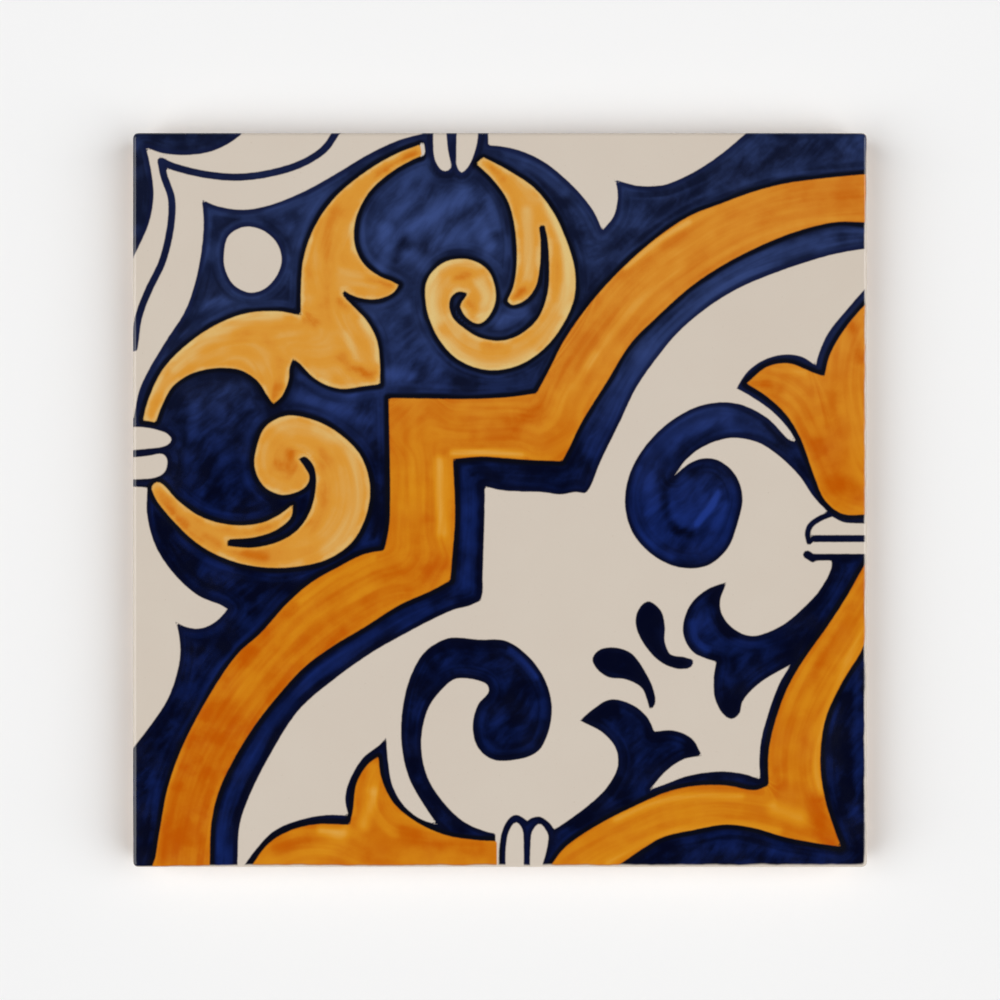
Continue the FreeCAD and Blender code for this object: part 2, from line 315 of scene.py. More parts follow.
PETALS = outline(
    [(69.4, -12.5), (66, -18.5), (62.5, -23.9), (57.5, -31), (54.7, -36), (52.5, -42), (51.2, -48),
     (51.2, -54.4)],
    [(48.5, -55.3), (43, -54.4), (37, -54.5), (32, -55.6), (25.5, -58.4), (18, -62.3), (12.3, -66.3),
     (9.6, -69.8)],
    [(8.3, -72)], [(19, -72)],
    [(23.5, -68.9), (27, -66.5), (31, -64.2), (37, -62.8), (43, -61.8), (48.5, -62.5), (54, -64.1),
     (60, -65.3), (64.9, -66)],
    [(63.6, -62.5), (61.9, -57), (61, -50), (61.9, -42), (65, -35), (68.5, -29.3), (69.8, -26.5)],
    [(72, -24)], [(72, -8.5)])

COBALT_SHAPES = [FIELD, CORNER_PATCH, BUD_RIGHT_LINE, BUD_LOWER_LINE, CURL_RIGHT, CURL_LOWER, TIE_LOWER_LINE,
                 SPRIG_RIGHT, SPRIG_LOWER, DROP_RIGHT, DROP_LEFT, FLOWER]
COBALT_LINES = [(1.4, ARC_TOP), (1.4, ARC_LEFT), (1.1, TIE_RIGHT_LOOP), (1.35, TIE_RIGHT_BAR),
                (1.3, TIE_RIGHT_FOOT), (1.6, TIE_RIGHT_HEEL)]
BARE_SHAPES = [WHITE_DOT, *FINGERS, LEAF_GAP]
LEAF_SHAPES = [ACANTHUS, SCROLL_TOP, SCROLL_LEFT]
OCHRE_SHAPES = [BAND, BUD_RIGHT, BUD_LOWER, PETALS]


# Middle lines along which the brush was pulled through the yellows.
PULLS = [smooth_run(points) for points in [
    # Band: right arc, the two straight stretches of the step, left arc.
    [(72, 57.5), (60, 56.5), (48, 53.3), (37, 47.6), (27, 40), (20, 31.8), (16, 26), (12.5, 19.5),
     (9.4, 13.8)],
    [(9.4, 13.8), (0, 13.6), (-8, 13.6), (-15, 13.7)],
    [(-15, 13.7), (-14.9, 4), (-15, -5), (-15.7, -12.5)],
    [(-15.7, -12.5), (-19.8, -14.6), (-25, -17), (-31.5, -21), (-38.5, -26.5), (-45, -33.5), (-50.5, -41),
     (-55, -49), (-58.2, -57), (-60, -65), (-60.6, -72)],
    # Right bud, lower bud and petals.
    [(47.5, 22.3), (52, 22.3), (56.5, 19.5), (59.5, 14), (62, 7.5), (65, 1.5), (70, -1)],
    [(70, 37), (66.5, 31.5), (65, 24), (66, 15), (68, 6), (72, 2)],
    [(-49, -71), (-44, -67), (-38, -64.8), (-31, -65), (-25, -67.5), (-15, -69.5), (0, -69.5)],
    [(-23.4, -49.5), (-25.2, -54), (-25.3, -59), (-22, -63.5), (-15, -65.5), (0, -66.5)],
    [(71, -18.5), (66, -26.5), (61, -34.5), (57.5, -42), (56, -49), (56.5, -55), (59.5, -60.5),
     (63.5, -64.5)],
    [(10, -72), (16, -67.5), (24, -63.2), (32, -60), (40, -58.3), (48, -58.9), (54, -60.5), (60, -63)],
    # Leaf: upper arm with the lobe below it, left arm, prong and hook.
    [(-15, 66.7), (-21, 63.8), (-27, 58.8), (-31, 52.5), (-32.7, 46), (-32.8, 40), (-31, 34), (-27.5, 28.5),
     (-23.5, 23.2)],
    [(-67, 15.2), (-64.5, 21), (-59.5, 26.3), (-53, 29.5), (-46, 30), (-40, 30.5), (-35, 30)],
    [(-45.5, 28), (-42.8, 23.5), (-43.2, 18.8)],
    [(-31, 42.5), (-27, 41), (-22, 40.4), (-19.3, 41)],
    # Upper scroll and left scroll, the long spine and the short arm of each.
    [(-4, 64.6), (2.5, 60.2), (7.5, 55.5), (10.8, 49.5), (11.8, 43), (11.3, 38), (8.5, 33), (4, 29),
     (-2.5, 27.8), (-8, 30), (-11.5, 34.5), (-11.9, 39.5), (-9.5, 42.8), (-6, 43), (-3.5, 40.5), (-3, 37.5),
     (-5, 36)],
    [(3.2, 57.5), (5.3, 51), (5.5, 45), (4.3, 40.5), (2.4, 38.2)],
    [(-66, 2.6), (-61, -3), (-56, -7), (-49, -10.3), (-41, -10.6), (-34, -8), (-30.2, -3), (-29.6, 3),
     (-31.5, 8.5), (-36, 12), (-41, 12.5), (-44, 9), (-43.3, 5.3), (-40.3, 4.8), (-39.4, 6.5)],
    [(-60, -1.8), (-54, -5.4), (-47, -6), (-42, -4.2), (-39.6, -1.5)],
]]

# Brush marks as (tone, width, points): above nought paler than the pigment round them, below deeper.

COBALT_MARKS = [
    # Dome between the leaf and the upper scroll, and the field below it.
    (0.42, 3.5, [(-16.5, 51.5), (-11, 55.8), (-7, 58)]),
    (0.16, 2.0, [(-16.8, 58.5), (-18.6, 55), (-20, 51)]),
    (0.15, 6.0, [(-25, 50), (-20, 58), (-14.5, 62)]),
    (0.35, 2.4, [(-21.8, 51.5), (-21.2, 47.5), (-22.6, 44.5)]),
    (0.28, 2.6, [(-17.2, 46.6), (-14.2, 44.4)]),
    (0.40, 2.5, [(-3.5, 53), (-2.0, 48.5)]),
    (0.28, 1.8, [(-2.3, 57.5), (-0.4, 52)]),
    (0.26, 3.0, [(-11, 49.5), (-5, 50.2)]),
    (0.35, 2.2, [(-21, 24), (-17.5, 23.6)]),
    (0.10, 6.0, [(-17, 37), (-15, 31)]),
    (0.38, 2.6, [(0.2, 34), (2.2, 35.2), (4.2, 36)]),
    (-0.30, 0.9, [(-13.4, 71), (-13.1, 65.5), (-11.5, 62.2), (-9.4, 61.9)]),
    (-0.30, 0.9, [(-9.2, 71), (-8.8, 65), (-8.4, 62.4), (-7.2, 61.6), (-5.2, 63.8), (-3.2, 69.5)]),
    (-0.15, 2.5, [(-19.3, 49), (-15, 48.5)]),
    (-0.12, 3.0, [(-19, 43), (-17, 40)]),
    (0.14, 2.5, [(-15, 30), (-12.5, 25.5)]),
    (-0.12, 2.5, [(-8, 22.4), (4.5, 22.4)]),
    # Right of the upper scroll, along the top edge and down the stripe.
    (-0.12, 4.0, [(6, 61.5), (11, 56), (14.3, 50)]),
    (0.30, 1.8, [(4.5, 63.8), (8, 62), (12, 58.5)]),
    (-0.16, 3.0, [(16.5, 37.5), (20, 43), (26, 50)]),
    (-0.12, 6.0, [(30, 57), (44, 62), (52, 66), (62, 69)]),
    (0.20, 2.4, [(17.5, 9), (22, 18.5), (28, 28), (36, 36), (46, 43.2), (56, 47.8), (63, 49.6)]),
    (-0.05, 4.0, [(16, 4), (8, 4.5), (0, 5), (-5.5, 4.5)]),
    (0.18, 2.0, [(-5.6, 1), (-5.8, -8), (-6.2, -16)]),
    (0.24, 2.2, [(-14, -20.5), (-26, -26.8), (-36, -34), (-43, -42), (-49.5, -53), (-53, -62),
                 (-52.8, -70)]),
    # Corner patch, and round the white dot.
    (-0.22, 5.0, [(-52, 69), (-66, 68.5), (-69, 62), (-69, 50)]),
    (0.18, 2.6, [(-55.5, 37.3), (-52.5, 37.6)]),
    (0.15, 1.8, [(-60, 31.5), (-56.5, 33.2), (-53.5, 35.2)]),
    (0.12, 2.4, [(-38.5, 49), (-36.8, 53.5), (-34, 58)]),
    (0.20, 2.0, [(-44, 55), (-38.5, 57.2)]),
    (0.12, 2.0, [(-46.5, 37.8), (-42, 37.6)]),
    (-0.15, 2.5, [(-58.5, 37), (-60.5, 33.5)]),
    (-0.08, 2.5, [(-42.5, 53), (-40.5, 49.5)]),
    # Dome inside the left scroll, and the field beside it.
    (0.26, 2.2, [(-58, 17), (-58.4, 12.5)]),
    (0.14, 2.0, [(-53.5, 11), (-52.5, 7.5)]),
    (0.12, 2.2, [(-57.5, 4), (-60, 1.5)]),
    (-0.12, 2.4, [(-49, 10), (-49.4, 5)]),
    (-0.15, 2.4, [(-48.5, -2.4), (-43.5, -0.6)]),
    (-0.15, 2.6, [(-51.5, 23.6), (-46.2, 20)]),
    (-0.22, 3.5, [(-61.8, 18), (-62.5, 11), (-61.8, 6.5)]),
    (-0.08, 2.6, [(-56, 5), (-50, -1.5)]),
    (0.26, 2.6, [(-38.5, 20), (-31, 17.4), (-26, 15)]),
    (0.28, 1.8, [(-37.5, 23.4), (-33, 20.8), (-28, 20.2)]),
    (-0.12, 2.2, [(-43, 16.9), (-38, 17.5)]),
    (-0.14, 2.0, [(-23.4, 11), (-22.9, 3), (-23.4, -6)]),
    # Lower left, outside the band.
    (0.20, 1.8, [(-41, -18.6), (-46, -23.5), (-53, -32), (-60, -45)]),
    (-0.12, 3.0, [(-51, -24), (-52, -27.5)]),
    (-0.10, 3.0, [(-40, -16), (-46, -17.5)]),
    (-0.12, 2.5, [(-67, -63), (-67.5, -66)]),
    (-0.12, 3.5, [(-64.5, -5), (-60, -13), (-54, -18)]),
    (-0.10, 3.0, [(-61, -28), (-62, -38), (-66.5, -47)]),
    # Right curl.
    (0.60, 1.0, [(41.6, 1.5), (40, -1.4), (37.6, -4.6)]),
    (0.24, 1.3, [(26.4, 6), (25.4, 1), (26, -4), (28.5, -8.5), (32.5, -11)]),
    (0.25, 4.0, [(32, 11), (37, 14.6), (43, 15.6)]),
    (0.30, 3.0, [(28.5, 9), (28, 0), (30, -7)]),
    (0.15, 4.0, [(33.5, -8), (39, -8.5), (43, -5)]),
    (0.20, 1.3, [(43.2, -1), (40.8, -5.5)]),
    (0.34, 5.0, [(31.5, 1), (34, -4), (41, -1)]),
    (-0.26, 1.4, [(33, 4.4), (31.7, 2.6), (31.4, -0.2), (32, -3.1), (33.2, -5.3)]),
    (-0.45, 1.5, [(33.6, -5.8), (36, -6.4)]),
    (0.28, 2.6, [(35.4, 3.4), (35.8, 0.4)]),
    (0.22, 1.8, [(37.8, 3.2), (38.4, 0.6)]),
    (0.12, 2.2, [(31.2, 6.6), (33.6, 9)]),
    (-0.14, 2.5, [(51, 13.4), (54.5, 10), (58, 4.5)]),
    (-0.10, 2.0, [(39, 6.5), (43.5, 4.5)]),
    # Lower curl.
    (0.36, 1.3, [(2, -28.6), (4.6, -30.8), (6.8, -33.6)]),
    (-0.10, 3.0, [(1, -38), (4, -42), (6, -45)]),
    (-0.08, 3.0, [(-14, -31), (-15, -36)]),
    (-0.12, 2.4, [(-16.5, -50), (-13, -58), (-7, -63)]),
    (-0.08, 3.5, [(-10, -29), (-2, -30), (5, -33)]),
    # Sprigs, drops and flower.
    (0.35, 1.5, [(36.5, -23.5), (37, -26.5), (39.2, -28.8)]),
    (0.18, 2.4, [(38.5, -22.5), (40.5, -27)]),
    (-0.12, 2.6, [(43, -29.5), (47, -29)]),
    (0.10, 2.4, [(50, -29.5), (54, -27.5)]),
    (-0.08, 2.6, [(60, -20), (67, -11)]),
    (-0.55, 2.5, [(42.5, -16), (40.8, -18.5)]),
    (-0.30, 2.5, [(41.5, -20.5), (44, -25)]),
    (-0.15, 2.5, [(43.5, -40), (42.5, -36.5)]),
    (0.08, 2.0, [(24.5, -42), (26.5, -45)]),
    (-0.55, 3.0, [(16.5, -41.5), (21, -39.8)]),
    (-0.10, 2.0, [(27, -48), (28.5, -44)]),
    (-0.30, 2.2, [(35.8, -46.8), (37.8, -48.2)]),
    (-0.15, 2.0, [(22, -53.5), (17, -59.5), (11, -64.5)]),
    (-0.25, 4.0, [(28, -21), (28.5, -27), (33, -31)]),
    (-0.30, 4.0, [(19, -31), (24, -31.5), (28, -37)]),
    (0.12, 1.4, [(63.5, -40), (63, -48), (64.5, -56)]),
    (0.15, 1.2, [(68, -34), (68, -48), (68, -60)]),
    (-0.14, 3.0, [(66, -38), (65, -48), (66, -56)]),
    (0.12, 2.0, [(44, -66), (55, -67.5)]),
    (-0.10, 2.6, [(30, -67.5), (38, -65.5)]),
    (-0.20, 4.0, [(65, -67), (69, -67.5)]),
]
WARM_MARKS = [
    # Band, from its right end to its lower left end.
    (0.16, 2.4, [(10.5, 17), (13.5, 20.5)]),
    (-0.14, 3.0, [(-19, 17), (-15, 16.6)]),
    (-0.34, 3.4, [(-1, 13), (6, 16), (8.5, 18.5)]),
    (0.24, 2.0, [(14.5, 22), (18, 27.5)]),
    (0.16, 2.0, [(17, 25.5), (24, 35), (34, 44.5)]),
    (0.45, 1.0, [(24, 44.3), (30, 49.3), (36, 53)]),
    (0.22, 2.4, [(34.5, 46.5), (40, 50)]),
    (-0.10, 2.2, [(11, 22), (14, 27), (18, 33)]),
    (-0.12, 2.2, [(50, 54), (60, 57.5), (69, 58)]),
    (-0.24, 2.6, [(-4.5, 11.8), (2, 11.6)]),
    (0.50, 1.2, [(-9, 9), (-3, 9), (4, 8.4)]),
    (0.50, 2.0, [(-11.4, 7.4), (-11.3, 1), (-11.2, -6)]),
    (0.12, 1.6, [(-16.5, 16), (-16.5, 6), (-16, -4)]),
    (0.10, 1.6, [(-19.4, 14), (-19.4, 2), (-19.6, -8)]),
    (-0.16, 2.4, [(-13.6, -4), (-13.4, -9.5)]),
    (-0.24, 3.0, [(-11.5, -12.5), (-17, -14)]),
    (0.20, 2.2, [(-25, -16.5), (-35, -22.5), (-45, -32), (-53, -43)]),
    (-0.30, 2.2, [(-40, -20.5), (-48, -29), (-55, -39), (-60, -50)]),
    (-0.25, 1.8, [(-30, -25.5), (-40, -33.5), (-47, -42), (-52, -52)]),
    (-0.16, 6.0, [(-16, -14), (-30, -20), (-42, -29), (-50, -38)]),
    (-0.36, 6.0, [(-52, -42), (-56, -49), (-60, -60), (-60.5, -70)]),
    (-0.25, 1.4, [(-60.5, -51), (-62.8, -60), (-64.5, -69)]),
    (-0.25, 1.4, [(-55.4, -56), (-56.6, -63), (-56.8, -70)]),
    (0.30, 0.9, [(-24, -11), (-31, -14.5), (-38, -19.3)]),
    # Right bud.
    (0.14, 4.0, [(66.5, 21), (67.5, 14), (68, 6)]),
    (0.12, 2.4, [(62.8, 26), (63.6, 22)]),
    (0.25, 1.0, [(52, 25), (58, 24.2)]),
    (-0.20, 3.0, [(64.5, 23), (64, 15), (64.8, 9)]),
    (-0.35, 2.0, [(48.5, 22.3), (53, 20.8)]),
    (-0.24, 2.8, [(60.6, 11), (62.6, 6), (64.5, 3)]),
    (-0.30, 2.4, [(66, 3), (68, 1)]),
    (-0.30, 2.0, [(67, 33), (68.5, 27)]),
    (-0.12, 6.0, [(60, 14), (66, 2)]),
    # Lower bud.
    (0.50, 1.8, [(-34, -62.9), (-30, -63.3)]),
    (0.45, 2.2, [(-24.2, -56), (-26, -62)]),
    (0.30, 1.8, [(-24, -51), (-24.5, -55)]),
    (0.20, 3.0, [(-45, -68.5), (-36, -68), (-31, -65)]),
    (-0.20, 2.2, [(-42, -67), (-37, -65.2)]),
    (-0.30, 2.0, [(-28, -65.5), (-25.5, -67.5)]),
    (-0.28, 2.4, [(-19, -63.3), (-12, -65.8), (-4, -66.8)]),
    # Petals.
    (0.34, 1.3, [(69.5, -23), (65, -33.5), (61.6, -42), (60.3, -50), (61, -56)]),
    (-0.12, 2.6, [(63.5, -26), (58.5, -34.5), (55, -43), (53.5, -50), (53.2, -56.5)]),
    (0.50, 2.6, [(52.5, -58.8), (57, -60.5)]),
    (0.34, 1.2, [(22, -60.8), (30, -57.5), (38, -56.2), (46, -56.4)]),
    (0.38, 1.4, [(20.5, -69), (26, -66), (31, -63.7), (38, -62.4), (46, -61.8), (53, -63)]),
    (0.10, 4.0, [(15, -69), (24, -63.5), (34, -59.5), (50, -58)]),
    (0.15, 1.6, [(65, -22.5), (58, -33), (54, -42), (52.6, -50)]),
    (-0.12, 1.8, [(66.5, -20.5), (61.5, -29), (57, -37.5)]),
    (-0.62, 3.0, [(60, -57.5), (61, -61.5), (62.8, -65)]),
    (-0.20, 2.0, [(54, -54.5), (57.5, -55)]),
    (-0.20, 1.6, [(58, -52), (58.3, -46)]),
    # Leaf.
    (-0.28, 2.4, [(-31.5, 55), (-33, 48), (-33, 42), (-34.5, 36.5)]),
    (-0.45, 2.0, [(-15.2, 66.8), (-18.5, 65.2), (-23, 62)]),
    (-0.35, 1.8, [(-43, 19.5), (-42, 23.5), (-42.5, 27)]),
    (-0.34, 2.0, [(-30, 27.4), (-29, 25.9), (-27, 24.7), (-24.4, 23.5)]),
    (-0.40, 2.0, [(-28, 25.2), (-26.4, 24.4), (-24.4, 23.5)]),
    (-0.16, 1.6, [(-33, 35), (-32, 33)]),
    (-0.35, 1.2, [(-30.6, 38.2), (-29.4, 36.4)]),
    (0.20, 1.6, [(-36, 25), (-33, 23.2)]),
    (-0.48, 1.8, [(-36.6, 34.6), (-35.2, 33.6)]),
    (-0.20, 1.8, [(-50, 31), (-46, 31.5), (-43.5, 29)]),
    (-0.10, 1.4, [(-66.8, 16), (-65.5, 19.5), (-62.5, 23.5)]),
    (-0.40, 1.4, [(-25, 42.2), (-20.5, 40.8)]),
    (-0.15, 1.8, [(-36.8, 48), (-36.2, 43)]),
    (-0.14, 2.0, [(-29.4, 54.5), (-30.2, 49)]),
    (0.18, 1.8, [(-35.8, 38.5), (-35.2, 35.8)]),
    (0.35, 2.0, [(-42, 35), (-49, 34), (-56, 30.5), (-62, 25)]),
    (0.20, 2.0, [(-58, 26.8), (-51, 27.4), (-45.5, 25)]),
    (0.20, 2.0, [(-33.5, 23.6), (-30, 25.2)]),
    (0.30, 1.2, [(-26.5, 34.5), (-24.3, 30), (-23.6, 27)]),
    (0.32, 1.5, [(-29.2, 31.5), (-28.2, 29), (-27.4, 26.4)]),
    # Upper scroll.
    (-0.50, 1.3, [(-8.6, 42.2), (-6.2, 42.7)]),
    (-0.40, 1.6, [(-2.8, 29.2), (1.2, 28.8)]),
    (0.10, 4.0, [(7, 57), (11, 50), (12, 42), (9, 33), (1, 27.5), (-8, 29.5), (-11.5, 36), (-10, 43)]),
    (0.20, 1.6, [(-10.2, 34.5), (-8, 31.8)]),
    (0.20, 1.6, [(-6, 35.6), (-4, 35)]),
    (0.30, 0.9, [(1.7, 37.8), (3.4, 37.7)]),
    (-0.65, 1.4, [(2.6, 38.7), (4.2, 39.9)]),
    (0.30, 1.2, [(-12.2, 43.3), (-8.8, 44.9), (-4, 44.5)]),
    (0.20, 1.8, [(7.5, 30), (11, 34.5)]),
    (-0.40, 1.4, [(-2.5, 64), (0.5, 61.3)]),
    (-0.40, 1.3, [(-6.2, 37.4), (-5, 36.5)]),
    (-0.20, 1.2, [(10.8, 48), (11.2, 43), (10.6, 38)]),
    (0.55, 2.4, [(-12.8, 42), (-13, 37), (-12.2, 34.5)]),
    (0.36, 2.4, [(-10, 29.8), (-6, 26.6), (0, 25.6), (6, 28)]),
    (0.40, 2.0, [(5, 55), (5.4, 50), (5.4, 42.5)]),
    (0.55, 1.8, [(9.5, 56), (12.4, 49), (13, 42), (12, 36)]),
    (0.45, 2.2, [(-3.6, 41.5), (-2.4, 38.5), (-3.2, 35.2)]),
    # Left scroll.
    (-0.45, 2.0, [(-40, 9), (-39.4, 6.4)]),
    (-0.40, 2.4, [(-42.5, 6.4), (-40.4, 5.4)]),
    (-0.14, 1.8, [(-43.2, 12.6), (-41, 12)]),
    (-0.25, 2.0, [(-34.2, 9), (-33.4, 5), (-33.6, 0), (-35.5, -4.5)]),
    (-0.45, 1.8, [(-65, 1.2), (-60, -4.5)]),
    (-0.30, 1.3, [(-62.5, -3.2), (-57, -8)]),
    (-0.40, 1.8, [(-56, -7), (-51, -9.8), (-45, -10.8)]),
    (0.34, 3.4, [(-28, 9), (-27, 3), (-28.5, -3.5), (-33, -9)]),
    (0.20, 1.8, [(-35, 13.4), (-30.5, 11)]),
    (0.26, 3.4, [(-41, 13.5), (-38, 13.6), (-33, 11.6)]),
    (0.14, 2.4, [(-31.5, -2), (-33.5, -6)]),
    (0.15, 2.0, [(-44.8, 10), (-44.6, 7)]),
    (-0.20, 1.2, [(-60, -1.5), (-56, -4.9), (-48, -5.6), (-43, -4.6)]),
]


# How deep every spot of the face lies inside each pigment.

RASTER_AXIS = np.arange(-RASTER_HALF, RASTER_HALF + RASTER_STEP / 2, RASTER_STEP)
RASTER_COUNT = len(RASTER_AXIS)


def raster_span(low, high):
    """First and last raster lines, as a slice, within reach of a stretch."""
    first = int((low - REACH + RASTER_HALF) / RASTER_STEP)
    last = int((high + REACH + RASTER_HALF) / RASTER_STEP) + 2
    return slice(max(first, 0), max(min(last, RASTER_COUNT), 0))


def spots_near(a, b):
    """Raster spots within reach of a short stretch, how far off they are and how far to its left."""
    rows = raster_span(min(a[1], b[1]), max(a[1], b[1]))
    columns = raster_span(min(a[0], b[0]), max(a[0], b[0]))
    x = RASTER_AXIS[columns][None, :] - a[0]
    y = RASTER_AXIS[rows][:, None] - a[1]
    along = b - a
    length = max(np.hypot(*along), NEXT_TO_NOTHING)
    part = np.clip((x * along[0] + y * along[1]) / length ** 2, 0, 1)
    distance = np.hypot(x - part * along[0], y - part * along[1])
    return (rows, columns), distance, (along[0] * y - along[1] * x) / length


def distance_from(starts, ends):
    """Distance of every raster spot from a chain of short stretches, up to REACH."""
    distance = np.full((RASTER_COUNT, RASTER_COUNT), REACH)
    for a, b in zip(starts, ends):
        spots, near, _ = spots_near(a, b)
        distance[spots] = np.minimum(distance[spots], near)
    return distance


def offset_from_pulls():
    """How far every raster spot lies to the left of the brush pulls round it, the nearest counting most."""
    weights = np.full((RASTER_COUNT, RASTER_COUNT), NEXT_TO_NOTHING)
    offsets = np.zeros((RASTER_COUNT, RASTER_COUNT))
    for pull in PULLS:
        distance = np.full((RASTER_COUNT, RASTER_COUNT), REACH)
        offset = np.zeros((RASTER_COUNT, RASTER_COUNT))
        for a, b in zip(pull[:-1], pull[1:]):
            spots, near, left = spots_near(a, b)
            offset[spots] = np.where(near < distance[spots], left, offset[spots])
            distance[spots] = np.minimum(distance[spots], near)
        weight = (1 - distance / REACH) ** 3
        weights += weight
        offsets += weight * offset
    return offsets / weights


def turns_round(points):
    """How often the outline turns round every raster spot: none outside it."""
    crossings = np.zeros((RASTER_COUNT, RASTER_COUNT + 1))
    for a, b in zip(points, np.roll(points, -1, axis=0)):
        low, high = sorted((a[1], b[1]))
        rows = np.nonzero((RASTER_AXIS >= low) & (RASTER_AXIS < high))[0]
        if len(rows) == 0:
            continue
        x = a[0] + (b[0] - a[0]) * (RASTER_AXIS[rows] - a[1]) / (b[1] - a[1])
        columns = np.clip(np.ceil((x + RASTER_HALF) / RASTER_STEP), 0, RASTER_COUNT).astype(int)
        crossings[rows, columns] += math.copysign(1, b[1] - a[1])
    return np.cumsum(crossings, axis=1)[:, :-1]


def depth_in_shape(points):
    """Depth inside a closed outline, negative outside."""
    distance = distance_from(points, np.roll(points, -1, axis=0))
    return np.where(np.abs(turns_round(points)) > 0.5, distance, -distance)


def depth_in_line(points, width):
    """Depth inside a brush line of even width."""
    return width / 2 - distance_from(points[:-1], points[1:])


def depth_in_any(depths):
    """Depth inside several shapes together."""
    return np.max(np.stack(depths), axis=0)


def paint_depths():
    """Depth maps of the painting, by name."""
    bare = depth_in_any([depth_in_shape(s) for s in BARE_SHAPES])
    blue = [depth_in_shape(s) for s in COBALT_SHAPES] + [depth_in_line(s, w) for w, s in COBALT_LINES]
    cobalt = np.minimum(depth_in_any(blue), -bare)
    leaf = depth_in_any([depth_in_shape(s) for s in LEAF_SHAPES])
    ochre = depth_in_any([depth_in_shape(s) for s in OCHRE_SHAPES])
    return {"cobalt": cobalt, "leaf": leaf, "ochre": ochre}


def brush_tone(marks):
    """All brush marks of one pigment together: each fades softly from its middle line."""
    total = np.zeros((RASTER_COUNT, RASTER_COUNT))
    for tone, width, points in marks:
        run = smooth_run(points)
        share = np.clip(depth_in_line(run, 2 * width) / width, 0, 1)
        total += tone * share * share * (3 - 2 * share)
    return total


def raster_cell(places):
    """The raster cell of each place along one side, and how far into the cell it lies."""
    steps = np.clip((places + RASTER_HALF) / RASTER_STEP, 0, RASTER_COUNT - 1.001)
    cell = steps.astype(int)
    return cell, steps - cell


def read_raster(raster, x, y):
    """Values of a raster between its spots."""
    i, u = raster_cell(x)
    j, v = raster_cell(y)
    lower = raster[j, i] * (1 - u) + raster[j, i + 1] * u
    upper = raster[j + 1, i] * (1 - u) + raster[j + 1, i + 1] * u
    return lower * (1 - v) + upper * v


# The tile's mesh: painted face, cushioned rim, leaning sides and keyed back, closed all round.

def border_walk(cells):
    """Places round the border of a square from -1 to 1, counter-clockwise."""
    side = np.linspace(-1, 1, cells + 1)[:-1]
    one = np.ones(cells)
    return np.vstack([np.c_[side, -one], np.c_[one, side], np.c_[-side, one], np.c_[-one, -side]])


def rounded_square(around, half, radius):
    """The places of a border walk on a square with rounded corners."""
    spread = around * half
    core = np.clip(spread, radius - half, half - radius)
    out = spread - core
    return core + out * (radius / np.hypot(*out.T))[:, None]


def rim_profile():
    """(inset, height) from the flat of the face over the rim, down the side and round to the back."""
    steps = np.radians(np.linspace(0, 90, RIM_POINTS))
    top = THICKNESS - CUSHION_RADIUS
    profile = [(CUSHION_RADIUS * (1 - math.sin(s)), top + CUSHION_RADIUS * math.cos(s)) for s in steps]
    profile += [(0.0, RELIEF_HEIGHT + SIDE_RING_RISE), (0.0, RELIEF_HEIGHT)]
    for height in LEAN_RING_HEIGHTS:
        profile.append((BACK_INSET * (1 - height / RELIEF_HEIGHT), height))
    profile.append((BACK_INSET * BACK_EDGE_LEAN, BACK_EDGE_ROUND))
    middle = BACK_EDGE_ROUND * ROUND_MIDDLE
    profile.append((BACK_INSET + middle, middle))
    profile.append((BACK_INSET + BACK_EDGE_ROUND, 0.0))
    return profile


def glaze_wave(x, y):
    """How far the fired glaze sags below its highest spots, in millimetres."""
    slow = np.sin(0.11 * x + 0.07 * y + 0.4) + np.sin(0.06 * x - 0.13 * y + 1.9)
    quick = np.sin(0.31 * x - 0.12 * y) * np.sin(0.17 * x + 0.29 * y + 0.8)
    return SLOW_SAG * (2 - slow) + QUICK_SAG * (1 - quick)


def face_grid():
    """Vertices and quads of the flat of the face."""
    axis = np.linspace(-FACE_FLAT, FACE_FLAT, FACE_CELLS + 1)
    x, y = np.meshgrid(axis, axis)
    fade = np.clip((FACE_FLAT - np.maximum(np.abs(x), np.abs(y))) / SAG_FADE, 0, 1)
    z = THICKNESS - glaze_wave(x, y) * fade
    index = np.arange((FACE_CELLS + 1) ** 2).reshape(FACE_CELLS + 1, FACE_CELLS + 1)
    quads = np.stack([index[:-1, :-1], index[:-1, 1:], index[1:, 1:], index[1:, :-1]], axis=-1)
    border = np.concatenate([index[0, :-1], index[:-1, -1], index[-1, :0:-1], index[:0:-1, 0]])
    return np.c_[x.ravel(), y.ravel(), z.ravel()], quads.reshape(-1, 4), border


def groove_loop(centre, grow):
    """Outline of one round-ended groove, grown or shrunk, from the top of its upper end."""
    radius = GROOVE_WIDTH / 2
    straight = HALF_SIDE - BACK_INSET - BACK_RIM - radius
    bend = np.radians(np.linspace(0, 180, GROOVE_END_POINTS))
    rise = np.linspace(-straight, straight, GROOVE_SIDE_POINTS + 2)[1:-1]
    reach = radius + grow
    end = np.c_[reach * np.cos(bend), reach * np.sin(bend) + straight]
    left = np.c_[np.full(len(rise), -reach), rise[::-1]]
    half = np.vstack([end, left])
    around = np.vstack([half, -half]) + [centre, 0.0]
    return np.roll(around, -(GROOVE_END_POINTS // 2), axis=0)


# Offsets and depths of the steps over the edge of a groove, and where each lies in the flat map.
GROOVE_EDGE = [(GROOVE_EDGE_ROUND, 0.0, 0.5),
               (GROOVE_EDGE_ROUND * ROUND_MIDDLE, GROOVE_EDGE_ROUND * ROUND_MIDDLE, 0.3),
               (0.0, GROOVE_EDGE_ROUND, 0.1)]
GROOVE_FOOT = [(-grow, GROOVE_DEPTH - depth, -spread) for grow, depth, spread in reversed(GROOVE_EDGE)]
GROOVE_STEPS = GROOVE_EDGE + GROOVE_FOOT


